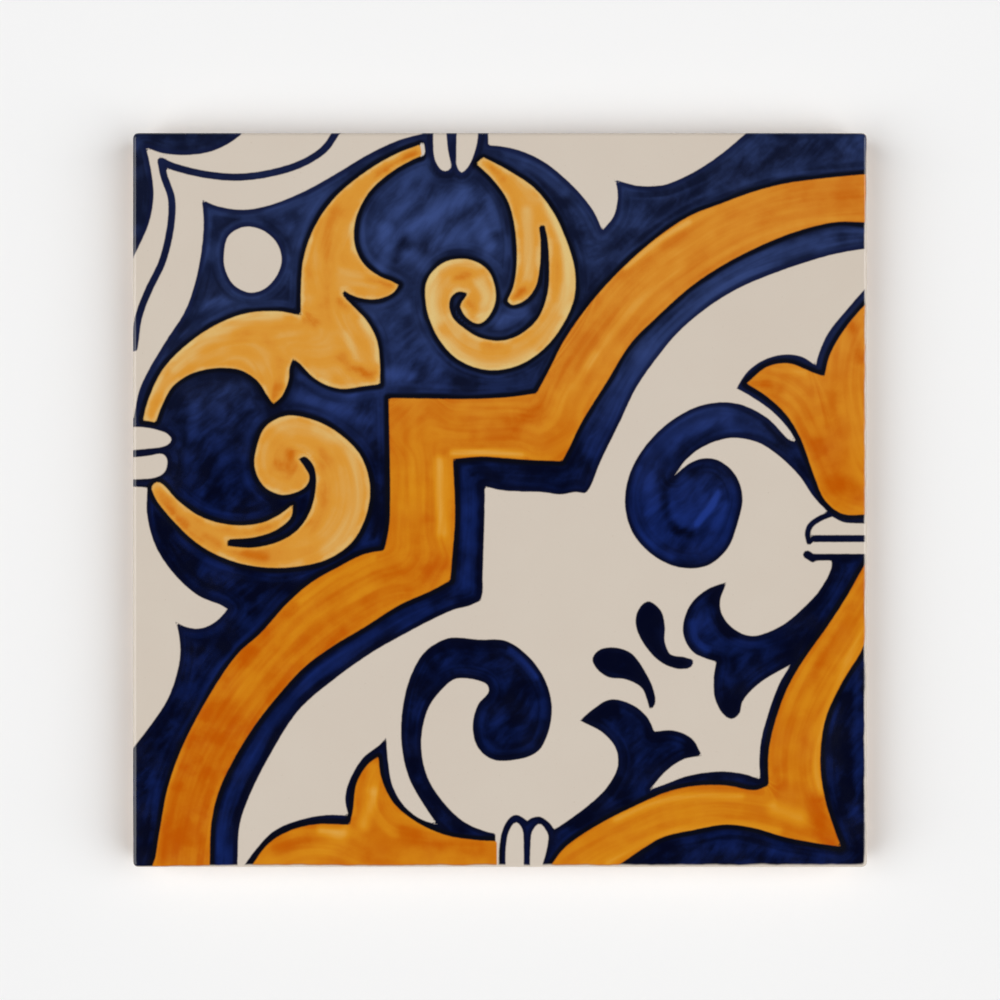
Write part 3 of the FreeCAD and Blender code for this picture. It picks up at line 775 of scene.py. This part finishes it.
class TileMesh:
    """Gathers vertices, faces and where each vertex lies in the flat map."""

    def __init__(self):
        self.vertices = []
        self.flat = []
        self.run = []
        self.faces = []
        self.count = 0

    def add(self, places, flat, run):
        """Adds vertices and returns their numbers. run is how far the surface has come from the middle."""
        first = self.count
        self.vertices.append(np.asarray(places, float))
        self.flat.append(np.asarray(flat, float))
        self.run.append(np.asarray(run, float))
        self.count += len(places)
        return np.arange(first, self.count)

    def bridge(self, inner, outer):
        """Quads between two closed loops of as many vertices."""
        quads = np.stack([inner, outer, np.roll(outer, -1), np.roll(inner, -1)], axis=-1)
        self.faces.extend(quads.tolist())


def add_rim(tile, border, around):
    """Rings from the face over the rim to the edge of the back. Returns the last ring and the widest run."""
    ring = border
    run = FACE_FLAT
    before = (HALF_SIDE - FACE_FLAT, THICKNESS)
    widest = 0.0
    for inset, height in rim_profile():
        run += math.hypot(inset - before[0], height - before[1])
        before = (inset, height)
        if inset == 0.0 and widest == 0.0:
            widest = run
        radius = max(CORNER_RADIUS - inset, LEAST_CORNER)
        plan = rounded_square(around, HALF_SIDE - inset, radius)
        places = np.c_[plan, np.full(len(plan), height)]
        outer = tile.add(places, around * run, np.full(len(plan), run))
        tile.bridge(ring, outer)
        ring = outer
    return ring, widest


def add_groove(tile, centre):
    """One blind groove, over its rounded edge and down to its floor. Returns its edge on the back."""
    rings = []
    for grow, depth, spread in GROOVE_STEPS:
        place = groove_loop(centre, grow)
        run = np.full(len(place), BEYOND_GLAZE)
        rings.append(tile.add(np.c_[place, np.full(len(place), depth)], groove_loop(centre, spread), run))
    for upper, lower in zip(rings[:-1], rings[1:]):
        tile.bridge(upper, lower)
    left_side = rings[-1]
    right_side = np.roll(left_side[::-1], 1)
    for i in range(len(left_side) // 2):
        strip = [left_side[i], left_side[i + 1], right_side[i + 1], right_side[i]]
        tile.faces.append(list(dict.fromkeys(strip)))
    return rings[0]


def add_back(tile, edge):
    """The back with its row of blind grooves."""
    loops = [edge]
    for number in range(GROOVE_COUNT):
        loops.append(add_groove(tile, (number - (GROOVE_COUNT - 1) / 2) * GROOVE_PITCH))
    numbers = np.concatenate(loops)
    spots = [Vector(p) for p in np.vstack(tile.vertices)[numbers][:, :2]]
    outlines = []
    first = 0
    for ring in loops:
        outlines.append(list(range(first, first + len(ring))))
        first += len(ring)
    land = delaunay_2d_cdt(spots, [], outlines, INSIDE_ONLY, NEXT_TO_NOTHING)
    _, _, triangles, from_spot, _, from_outline = land
    for triangle, inside in zip(triangles, from_outline):
        if list(inside) == [0]:
            tile.faces.append([numbers[from_spot[corner][0]] for corner in triangle])


def build_tile_mesh():
    """The mesh with its paint depths, the distance from its widest line, and its flat map."""
    tile = TileMesh()
    places, quads, border = face_grid()
    reach = np.max(np.abs(places[:, :2]), axis=1)
    tile.add(places, places[:, :2], reach)
    tile.faces.extend(quads.tolist())
    ring, widest = add_rim(tile, border, border_walk(FACE_CELLS))
    first_back_face = len(tile.faces)
    add_back(tile, ring)
    vertices = np.vstack(tile.vertices)
    mesh = bpy.data.meshes.new("painted_tile")
    mesh.from_pydata((vertices * MM).tolist(), [], tile.faces)
    add_attributes(mesh, vertices, widest - np.concatenate(tile.run))
    add_flat_map(mesh, np.vstack(tile.flat), vertices, first_back_face)
    return mesh, first_back_face


def add_attributes(mesh, vertices, from_edge):
    """Paint depths, brush tones and pulls, and how far each vertex lies in from the widest line."""
    rasters = paint_depths()
    rasters["cobalt_brush"] = brush_tone(COBALT_MARKS)
    rasters["warm_brush"] = brush_tone(WARM_MARKS)
    rasters["across_pull"] = offset_from_pulls()
    values = {name: read_raster(r, vertices[:, 0], vertices[:, 1]) for name, r in rasters.items()}
    values["from_edge"] = from_edge
    for name, value in values.items():
        layer = mesh.attributes.new(name, "FLOAT", "POINT")
        layer.data.foreach_set("value", value.astype(np.float32))


def add_flat_map(mesh, flat, vertices, first_back_face):
    """Unfolds face and sides into one square and lays the back, squeezed along its grooves, below it."""
    margin = 0.004
    face_share = 0.87
    size = np.max(np.abs(flat[:, 0])) * 2
    unfolded = 0.5 * face_share + flat * (face_share / size) * (1 - 2 * margin)
    unfolded[:, 1] += 1 - face_share
    back = np.c_[vertices[:, 0], vertices[:, 1]]
    is_groove = np.arange(len(flat)) >= len(flat) - GROOVE_COUNT * len(GROOVE_STEPS) * len(groove_loop(0, 0))
    back[is_groove] = flat[is_groove]
    back = back / FACE_SIDE * (1 - 2 * margin) + 0.5
    back[:, 0] *= face_share
    back[:, 1] *= 1 - face_share - 2 * margin
    corner = np.empty(len(mesh.loops), np.int32)
    mesh.loops.foreach_get("vertex_index", corner)
    counts = np.empty(len(mesh.polygons), np.int32)
    mesh.polygons.foreach_get("loop_total", counts)
    on_back = np.repeat(np.arange(len(counts)) >= first_back_face, counts)
    places = np.where(on_back[:, None], back[corner], unfolded[corner])
    layer = mesh.uv_layers.new(name="OFBake")
    layer.data.foreach_set("uv", places.astype(np.float32).ravel())


# Shader helpers.

def pigment(red, green, blue):
    """A colour as the eye reads it, 0 to 255, for a shader socket."""
    def linear(value):
        share = value / 255
        return share / 12.92 if share <= 0.04045 else ((share + 0.055) / 1.055) ** 2.4
    return (linear(red), linear(green), linear(blue), 1.0)


# Colours of the glaze, the pigments and the clay. A pair of a pigment goes from the upper half of the tile,
# paler and greyer there under a painted sheen, to the lower, and those of the cream and the clay from one
# patch to the next.
CREAM = pigment(210, 197, 183), pigment(214, 203, 189)
GLAZE_SPECK = pigment(170, 150, 126)
COBALT_WASH = pigment(60, 80, 138), pigment(28, 52, 130)
COBALT_FULL = pigment(14, 20, 44), pigment(2, 5, 28)
COBALT_RIM = pigment(16, 22, 54), pigment(5, 8, 32)
DARK_LINE = pigment(7, 8, 18)
OCHRE_EVEN = pigment(222, 152, 50), pigment(222, 150, 28)
OCHRE_PALE = pigment(226, 180, 100)
OCHRE_DEEP = pigment(191, 87, 0)
LEAF_EVEN = pigment(219, 151, 54)
LEAF_PALE = pigment(224, 192, 124)
LEAF_DEEP = pigment(200, 104, 8)
CLAY = pigment(206, 168, 130), pigment(222, 190, 156)
CLAY_GRAIN = pigment(150, 104, 72)
FLOOR_TONE = pigment(244, 244, 244)


class Graph:
    """Adds nodes to a tree. An input is a plain value or the output of another node."""

    def __init__(self, tree):
        self.tree = tree

    def add(self, kind, inputs=None, **settings):
        node = self.tree.nodes.new(kind)
        for name, value in settings.items():
            setattr(node, name, value)
        for name, value in (inputs or {}).items():
            self.feed(node.inputs[name], value)
        return node

    def feed(self, socket, value):
        if isinstance(value, bpy.types.NodeSocket):
            self.tree.links.new(value, socket)
        else:
            socket.default_value = value

    def math(self, operation, first, second=0.0, third=0.0):
        node = self.add("ShaderNodeMath", {0: first, 1: second, 2: third}, operation=operation)
        return node.outputs[0]

    def span(self, value, low, high, to_low=0.0, to_high=1.0):
        """A soft step: to_low below low, to_high above high."""
        settings = {"Value": value, "From Min": low, "From Max": high, "To Min": to_low, "To Max": to_high}
        return self.add("ShaderNodeMapRange", settings, interpolation_type="SMOOTHSTEP").outputs["Result"]

    def mix(self, factor, low, high):
        node = self.add("ShaderNodeMix", {0: factor, 6: low, 7: high}, data_type="RGBA")
        return node.outputs[2]

    def noise(self, vector, scale, detail=2.0):
        inputs = {"Vector": vector, "Scale": scale, "Detail": detail}
        return self.add("ShaderNodeTexNoise", inputs).outputs["Fac"]

    def place(self):
        """Where a spot lies on the tile, in millimetres."""
        spot = self.add("ShaderNodeTexCoord").outputs["Object"]
        return self.add("ShaderNodeVectorMath", {0: spot, 3: 1 / MM}, operation="SCALE").outputs[0]

    def attribute(self, name):
        return self.add("ShaderNodeAttribute", attribute_name=name).outputs["Fac"]

    def group(self, tree, **inputs):
        settings = {name.replace("_", " "): value for name, value in inputs.items()}
        return self.add("ShaderNodeGroup", settings, node_tree=tree).outputs


def new_group(name, inputs, outputs):
    """An empty node group with its sockets, and the nodes at its two ends."""
    tree = bpy.data.node_groups.new(name, "ShaderNodeTree")
    kinds = {"value": "NodeSocketFloat", "colour": "NodeSocketColor"}
    for socket, kind in inputs.items():
        tree.interface.new_socket(socket, in_out="INPUT", socket_type=kinds[kind])
    for socket, kind in outputs.items():
        tree.interface.new_socket(socket, in_out="OUTPUT", socket_type=kinds[kind])
    graph = Graph(tree)
    return graph, graph.add("NodeGroupInput").outputs, graph.add("NodeGroupOutput").inputs


def paint_edge_group():
    """Mask of a painted shape whose edge bled a little into the glaze."""
    graph, given, result = new_group("paint_edge", {"Depth": "value", "Bleed": "value", "Wobble": "value"},
                                     {"Mask": "value"})
    place = graph.place()
    coarse = graph.math("SUBTRACT", graph.noise(place, 0.9), 0.5)
    fine = graph.math("SUBTRACT", graph.noise(place, 4.0), 0.5)
    both = graph.math("ADD", coarse, graph.math("MULTIPLY", fine, 0.6))
    moved = graph.math("ADD", given["Depth"], graph.math("MULTIPLY", both, given["Wobble"]))
    below = graph.math("MULTIPLY", given["Bleed"], -1.0)
    graph.feed(result["Mask"], graph.span(moved, below, given["Bleed"]))
    return graph.tree


def brush_streak_group():
    """Streaks of a brush at even steps across its pull, or slanting deep inside a shape, and thin clouds."""
    inputs = {"Across": "value", "Shift": "value", "Slant": "value"}
    graph, given, result = new_group("brush_streaks", inputs, {"Streak": "value", "Cloud": "value"})
    place = graph.place()
    split = graph.add("ShaderNodeSeparateXYZ", {0: place}).outputs
    x = graph.math("MULTIPLY_ADD", split["X"], 0.06, given["Shift"])
    y = graph.math("MULTIPLY", split["Y"], 0.06)
    across = graph.math("MULTIPLY", given["Across"], 0.7)
    pulled = graph.add("ShaderNodeCombineXYZ", {0: x, 1: y, 2: across}).outputs[0]
    bend = graph.math("MULTIPLY", graph.noise(place, 0.06), 3.0)
    along = graph.math("MULTIPLY", graph.math("ADD", x, y), 1.6)
    athwart = graph.math("MULTIPLY_ADD", graph.math("SUBTRACT", y, x), 5.0, bend)
    slanting = graph.add("ShaderNodeCombineXYZ", {0: along, 1: athwart, 2: given["Shift"]}).outputs[0]
    inner = graph.math("MULTIPLY", graph.span(given["Across"], 1.8, 4.2), given["Slant"])
    streak = graph.add("ShaderNodeMix", {0: inner, 2: graph.noise(pulled, 1.0, 1.6),
                                         3: graph.noise(slanting, 1.3, 3.0)}, data_type="FLOAT")
    graph.feed(result["Streak"], graph.span(streak.outputs[0], 0.28, 0.72))
    cloud = graph.add("ShaderNodeCombineXYZ", {0: x, 1: y, 2: given["Shift"]}).outputs[0]
    graph.feed(result["Cloud"], graph.span(graph.noise(cloud, 3.4, 4.0), 0.3, 0.7))
    return graph.tree


def glaze_skin_group():
    """Ripple and pinholes of the fired glaze, and fine specks in it."""
    graph, _, result = new_group("glaze_skin", {}, {"Height": "value", "Speck": "value", "Gloss": "value"})
    place = graph.place()
    ripple = graph.noise(place, 0.22, 2.0)
    peel = graph.noise(place, 1.6, 1.0)
    holes = graph.add("ShaderNodeTexVoronoi", {"Vector": place, "Scale": 0.34}).outputs["Distance"]
    pinhole = graph.span(holes, 0.03, 0.07)
    skin = graph.math("ADD", graph.math("MULTIPLY", ripple, 0.6), graph.math("MULTIPLY", peel, 0.12))
    graph.feed(result["Height"], graph.math("ADD", skin, graph.math("MULTIPLY", pinhole, 0.1)))
    graph.feed(result["Speck"], graph.span(graph.noise(place, 2.3, 3.0), 0.68, 0.78))
    graph.feed(result["Gloss"], graph.noise(place, 0.12, 3.0))
    return graph.tree


def biscuit_group():
    """Bare fired clay: pale buff, with sand and darker grains."""
    outputs = {"Color": "colour", "Roughness": "value", "Height": "value"}
    graph, _, result = new_group("biscuit", {}, outputs)
    place = graph.place()
    cloud = graph.span(graph.noise(place, 0.09, 4.0), 0.3, 0.7)
    grain = graph.noise(place, 3.5, 4.0)
    clay = graph.mix(cloud, *CLAY)
    dark = graph.span(graph.noise(place, 1.3, 3.0), 0.66, 0.74)
    graph.feed(result["Color"], graph.mix(graph.math("MULTIPLY", dark, 0.5), clay, CLAY_GRAIN))
    graph.feed(result["Roughness"], graph.span(grain, 0.2, 0.8, 0.72, 0.95))
    graph.feed(result["Height"], graph.math("ADD", grain, graph.math("MULTIPLY", cloud, 0.4)))
    return graph.tree


def new_material(name):
    """A material with a bare Principled shader."""
    material = bpy.data.materials.new(name)
    material.use_nodes = True
    shader = next(n for n in material.node_tree.nodes if n.type == "BSDF_PRINCIPLED")
    return material, Graph(material.node_tree), shader


def brush_tone_of(graph, brush, marks, tone, streaky, cloudy):
    """Tone of a pigment, 0 thin to 1 full: its even load with the painted sheen, less the brush marks, with
    streaks and clouds.
    """
    mark = graph.math("MULTIPLY", graph.attribute(marks), graph.span(brush["Cloud"], 0.0, 1.0, 0.7, 1.1))
    tone = graph.math("SUBTRACT", tone, mark)
    for name, share in (("Streak", streaky), ("Cloud", cloudy)):
        tone = graph.math("MULTIPLY_ADD", graph.math("SUBTRACT", brush[name], 0.5), share, tone)
    return tone


def cobalt_colour(graph, streaks, painted_sheen_fade):
    """Cobalt blue: washy where the brush ran thin, darker at its edge, nearly black beside the yellows, and
    paler and greyer towards the top of the tile under a painted sheen.
    """
    cover = graph.attribute("cobalt")
    yellow = graph.math("MAXIMUM", graph.attribute("leaf"), graph.attribute("ochre"))
    beside = graph.math("MULTIPLY", yellow, -1.0)
    brush = graph.group(streaks, Across=graph.math("MINIMUM", cover, beside), Shift=3.0, Slant=1.0)
    load_and_sheen = graph.math("MULTIPLY_ADD", painted_sheen_fade, 0.1, 0.72)
    tone = brush_tone_of(graph, brush, "cobalt_brush", load_and_sheen, 0.22, 0.22)
    wash = graph.mix(painted_sheen_fade, *COBALT_WASH)
    full = graph.mix(painted_sheen_fade, *COBALT_FULL)
    body = graph.mix(graph.span(tone, 0.0, 1.0), wash, full)
    ragged = graph.math("MULTIPLY", graph.math("SUBTRACT", brush["Cloud"], 0.5), 0.3)
    rim = graph.span(graph.math("ADD", cover, ragged), 0.35, 1.2, 0.75, 0.0)
    body = graph.mix(rim, body, graph.mix(painted_sheen_fade, *COBALT_RIM))
    line = graph.span(graph.math("ADD", beside, ragged), 0.55, 1.35, 0.95, 0.0)
    return graph.mix(line, body, DARK_LINE)


def ochre_colour(graph, streaks, painted_sheen_fade):
    """Ochre of the band, the buds and the petals, in long brush streaks, paler towards the top of the tile
    under a painted sheen.
    """
    brush = graph.group(streaks, Across=graph.attribute("across_pull"), Shift=11.0, Slant=0.0)
    load_and_sheen = graph.math("MULTIPLY_ADD", painted_sheen_fade, 0.1, 0.44)
    tone = brush_tone_of(graph, brush, "warm_brush", load_and_sheen, 0.22, 0.2)
    even = graph.mix(painted_sheen_fade, *OCHRE_EVEN)
    pale = graph.mix(graph.span(tone, -0.5, 0.35), OCHRE_PALE, even)
    return graph.mix(graph.span(tone, -0.1, 1.1), pale, OCHRE_DEEP)


def leaf_colour(graph, streaks, painted_sheen_fade):
    """Leaf yellow with a pale rim and orange shading, a little paler towards the top of the tile under a
    painted sheen.
    """
    depth = graph.attribute("leaf")
    brush = graph.group(streaks, Across=graph.attribute("across_pull"), Shift=23.0, Slant=0.0)
    load_and_sheen = graph.math("MULTIPLY_ADD", painted_sheen_fade, 0.08, 0.42)
    tone = brush_tone_of(graph, brush, "warm_brush", load_and_sheen, 0.22, 0.2)
    rim = graph.span(graph.math("MULTIPLY_ADD", brush["Cloud"], 0.6, depth), 0.3, 1.4, 0.34, 0.0)
    tone = graph.math("SUBTRACT", tone, rim)
    pale = graph.mix(graph.span(tone, -0.3, 0.5), LEAF_PALE, LEAF_EVEN)
    return graph.mix(graph.span(tone, 0.4, 1.25), pale, LEAF_DEEP)


def painted_glaze(clay):
    """Tin glaze with the painting fired into it, ending in an uneven line down the sides."""
    material, graph, shader = new_material("painted_glaze")
    edge = paint_edge_group()
    streaks = brush_streak_group()
    skin = graph.group(glaze_skin_group())
    place = graph.place()
    split = graph.add("ShaderNodeSeparateXYZ", {0: place}).outputs
    # Painted sheen: every paint is paler and greyer towards the top of the tile and deeper towards the
    # bottom.
    height = graph.math("MULTIPLY_ADD", graph.noise(place, 0.03), 16.0, split["Y"])
    painted_sheen_fade = graph.span(height, 3.0, 50.0, 1.0, 0.0)
    cream = graph.mix(graph.noise(place, 0.06, 3.0), *CREAM)
    cream = graph.mix(graph.math("MULTIPLY", skin["Speck"], 0.25), cream, GLAZE_SPECK)
    from_edge = graph.attribute("from_edge")
    # Paint thins away over the rounded rim, and along the right and lower edges it gives way to a pale cream
    # line, a painted highlight on those edges.
    lower_right = graph.span(graph.math("SUBTRACT", split["X"], split["Y"]), -25.0, 25.0, 0.4, -0.5)
    patchy = graph.math("SUBTRACT", graph.noise(place, 0.25, 2.0), 0.5)
    rim_thin_and_highlight = graph.math("MULTIPLY_ADD", patchy, 0.6, lower_right)
    kept = graph.span(graph.math("ADD", from_edge, rim_thin_and_highlight), 0.1, 0.7)
    layers = [("cobalt", cobalt_colour, 0.18), ("leaf", leaf_colour, 0.2), ("ochre", ochre_colour, 0.2)]
    colour = cream
    for name, paint, bleed in layers:
        mask = graph.group(edge, Depth=graph.attribute(name), Bleed=bleed, Wobble=0.12)["Mask"]
        colour = graph.mix(graph.math("MULTIPLY", mask, kept), colour, paint(graph, streaks, painted_sheen_fade))
    bare = graph.group(clay)
    run = graph.math("MULTIPLY", graph.math("SUBTRACT", graph.noise(place, 0.16, 3.0), 0.5), 3.0)
    glazed = graph.span(graph.math("ADD", from_edge, run), -2.1, -1.8)
    graph.feed(shader.inputs["Base Color"], graph.mix(glazed, bare["Color"], colour))
    gloss = graph.span(skin["Gloss"], 0.3, 0.7, 0.09, 0.17)
    rough = graph.add("ShaderNodeMix", {0: glazed, 2: bare["Roughness"], 3: gloss}, data_type="FLOAT")
    graph.feed(shader.inputs["Roughness"], rough.outputs[0])
    relief = graph.add("ShaderNodeMix", {0: glazed, 2: bare["Height"], 3: skin["Height"]}, data_type="FLOAT")
    bump = graph.add("ShaderNodeBump", {"Height": relief.outputs[0], "Strength": 0.35, "Distance": 0.0001})
    graph.feed(shader.inputs["Normal"], bump.outputs[0])
    return material


def biscuit_clay(clay):
    """Bare clay of the back."""
    material, graph, shader = new_material("biscuit_clay")
    bare = graph.group(clay)
    graph.feed(shader.inputs["Base Color"], bare["Color"])
    graph.feed(shader.inputs["Roughness"], bare["Roughness"])
    bump = graph.add("ShaderNodeBump", {"Height": bare["Height"], "Strength": 0.6, "Distance": 0.0002})
    graph.feed(shader.inputs["Normal"], bump.outputs[0])
    return material


def make_tile():
    """The painted tile, in place of the plain solid."""
    mesh, first_back_face = build_tile_mesh()
    shape = bmesh.new()
    shape.from_mesh(mesh)
    bmesh.ops.recalc_face_normals(shape, faces=shape.faces)
    shape.to_mesh(mesh)
    shape.free()
    clay = biscuit_group()
    mesh.materials.append(painted_glaze(clay))
    mesh.materials.append(biscuit_clay(clay))
    slots = (np.arange(len(mesh.polygons)) >= first_back_face).astype(np.int32)
    mesh.polygons.foreach_set("material_index", slots)
    mesh.shade_smooth()
    mesh.set_sharp_from_angle(angle=math.radians(SHARP_ANGLE))
    tile = bpy.data.objects.new("painted_tile", mesh)
    bpy.context.scene.collection.objects.link(tile)
    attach(tile, "root")
    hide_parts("tile")


# Floor, light and camera.

FLOOR_HALF = 3.0
FLOOR_ROUGHNESS = 0.9
LAMP_TURNS = {"lamp_left": 190.0, "lamp_right": -10.0}
LAMP_STRENGTH = 2.25
LAMP_RISE = 42.0
LAMP_SPREAD = 60.0
WORLD_LEVEL = 0.04
WALL_LEVEL = 0.9
CEILING_LEVEL = 0.02
WALL_TOP = 0.05
CEILING_START = 0.5
LENS = 85.0
SENSOR = 36.0
TILE_SHARE = 0.735


def make_floor():
    """A plain pale floor under the tile."""
    mesh = bpy.data.meshes.new("floor")
    h = FLOOR_HALF
    mesh.from_pydata([(-h, -h, 0), (h, -h, 0), (h, h, 0), (-h, h, 0)], [], [(0, 1, 2, 3)])
    floor = bpy.data.objects.new("floor", mesh)
    bpy.context.scene.collection.objects.link(floor)
    material, _, shader = new_material("pale_floor")
    shader.inputs["Base Color"].default_value = FLOOR_TONE
    shader.inputs["Roughness"].default_value = FLOOR_ROUGHNESS
    mesh.materials.append(material)


def make_lamp(name, turn):
    """A broad soft lamp, far off to one side."""
    data = bpy.data.lights.new(name, "SUN")
    data.energy = LAMP_STRENGTH
    data.angle = math.radians(LAMP_SPREAD)
    lamp = bpy.data.objects.new(name, data)
    bpy.context.scene.collection.objects.link(lamp)
    turn = math.radians(turn)
    rise = math.radians(LAMP_RISE)
    way = Vector((math.cos(turn) * math.cos(rise), math.sin(turn) * math.cos(rise), math.sin(rise)))
    lamp.rotation_euler = way.to_track_quat("Z", "Y").to_euler()


def make_world():
    """A dim even light. The camera and the gloss see pale walls under a dark ceiling."""
    world = bpy.data.worlds.new("studio")
    world.use_nodes = True
    graph = Graph(world.node_tree)
    back = world.node_tree.nodes["Background"]
    back.inputs["Color"].default_value = (1.0, 1.0, 1.0, 1.0)
    way = graph.add("ShaderNodeTexCoord").outputs["Generated"]
    rise = graph.add("ShaderNodeSeparateXYZ", {0: way}).outputs["Z"]
    room = graph.span(rise, WALL_TOP, CEILING_START, WALL_LEVEL, CEILING_LEVEL)
    path = graph.add("ShaderNodeLightPath").outputs
    mirrored = graph.math("MAXIMUM", path["Is Glossy Ray"], path["Is Transmission Ray"])
    seen = graph.math("MAXIMUM", path["Is Camera Ray"], mirrored)
    level = graph.add("ShaderNodeMix", {0: seen, 2: WORLD_LEVEL, 3: room}, data_type="FLOAT")
    graph.feed(back.inputs["Strength"], level.outputs[0])
    bpy.context.scene.world = world


def make_camera():
    """Straight above the tile, which takes most of the picture."""
    data = bpy.data.cameras.new("camera")
    data.lens = LENS
    data.sensor_width = SENSOR
    camera = bpy.data.objects.new("camera", data)
    bpy.context.scene.collection.objects.link(camera)
    picture = FACE_SIDE * MM / TILE_SHARE
    camera.location = (0.0, 0.0, THICKNESS * MM + picture * LENS / SENSOR)
    bpy.context.scene.camera = camera


def main():
    """The tile on its stage."""
    make_tile()
    make_floor()
    for name, turn in LAMP_TURNS.items():
        make_lamp(name, turn)
    make_world()
    make_camera()
    bpy.context.scene.view_settings.view_transform = "Standard"


main()
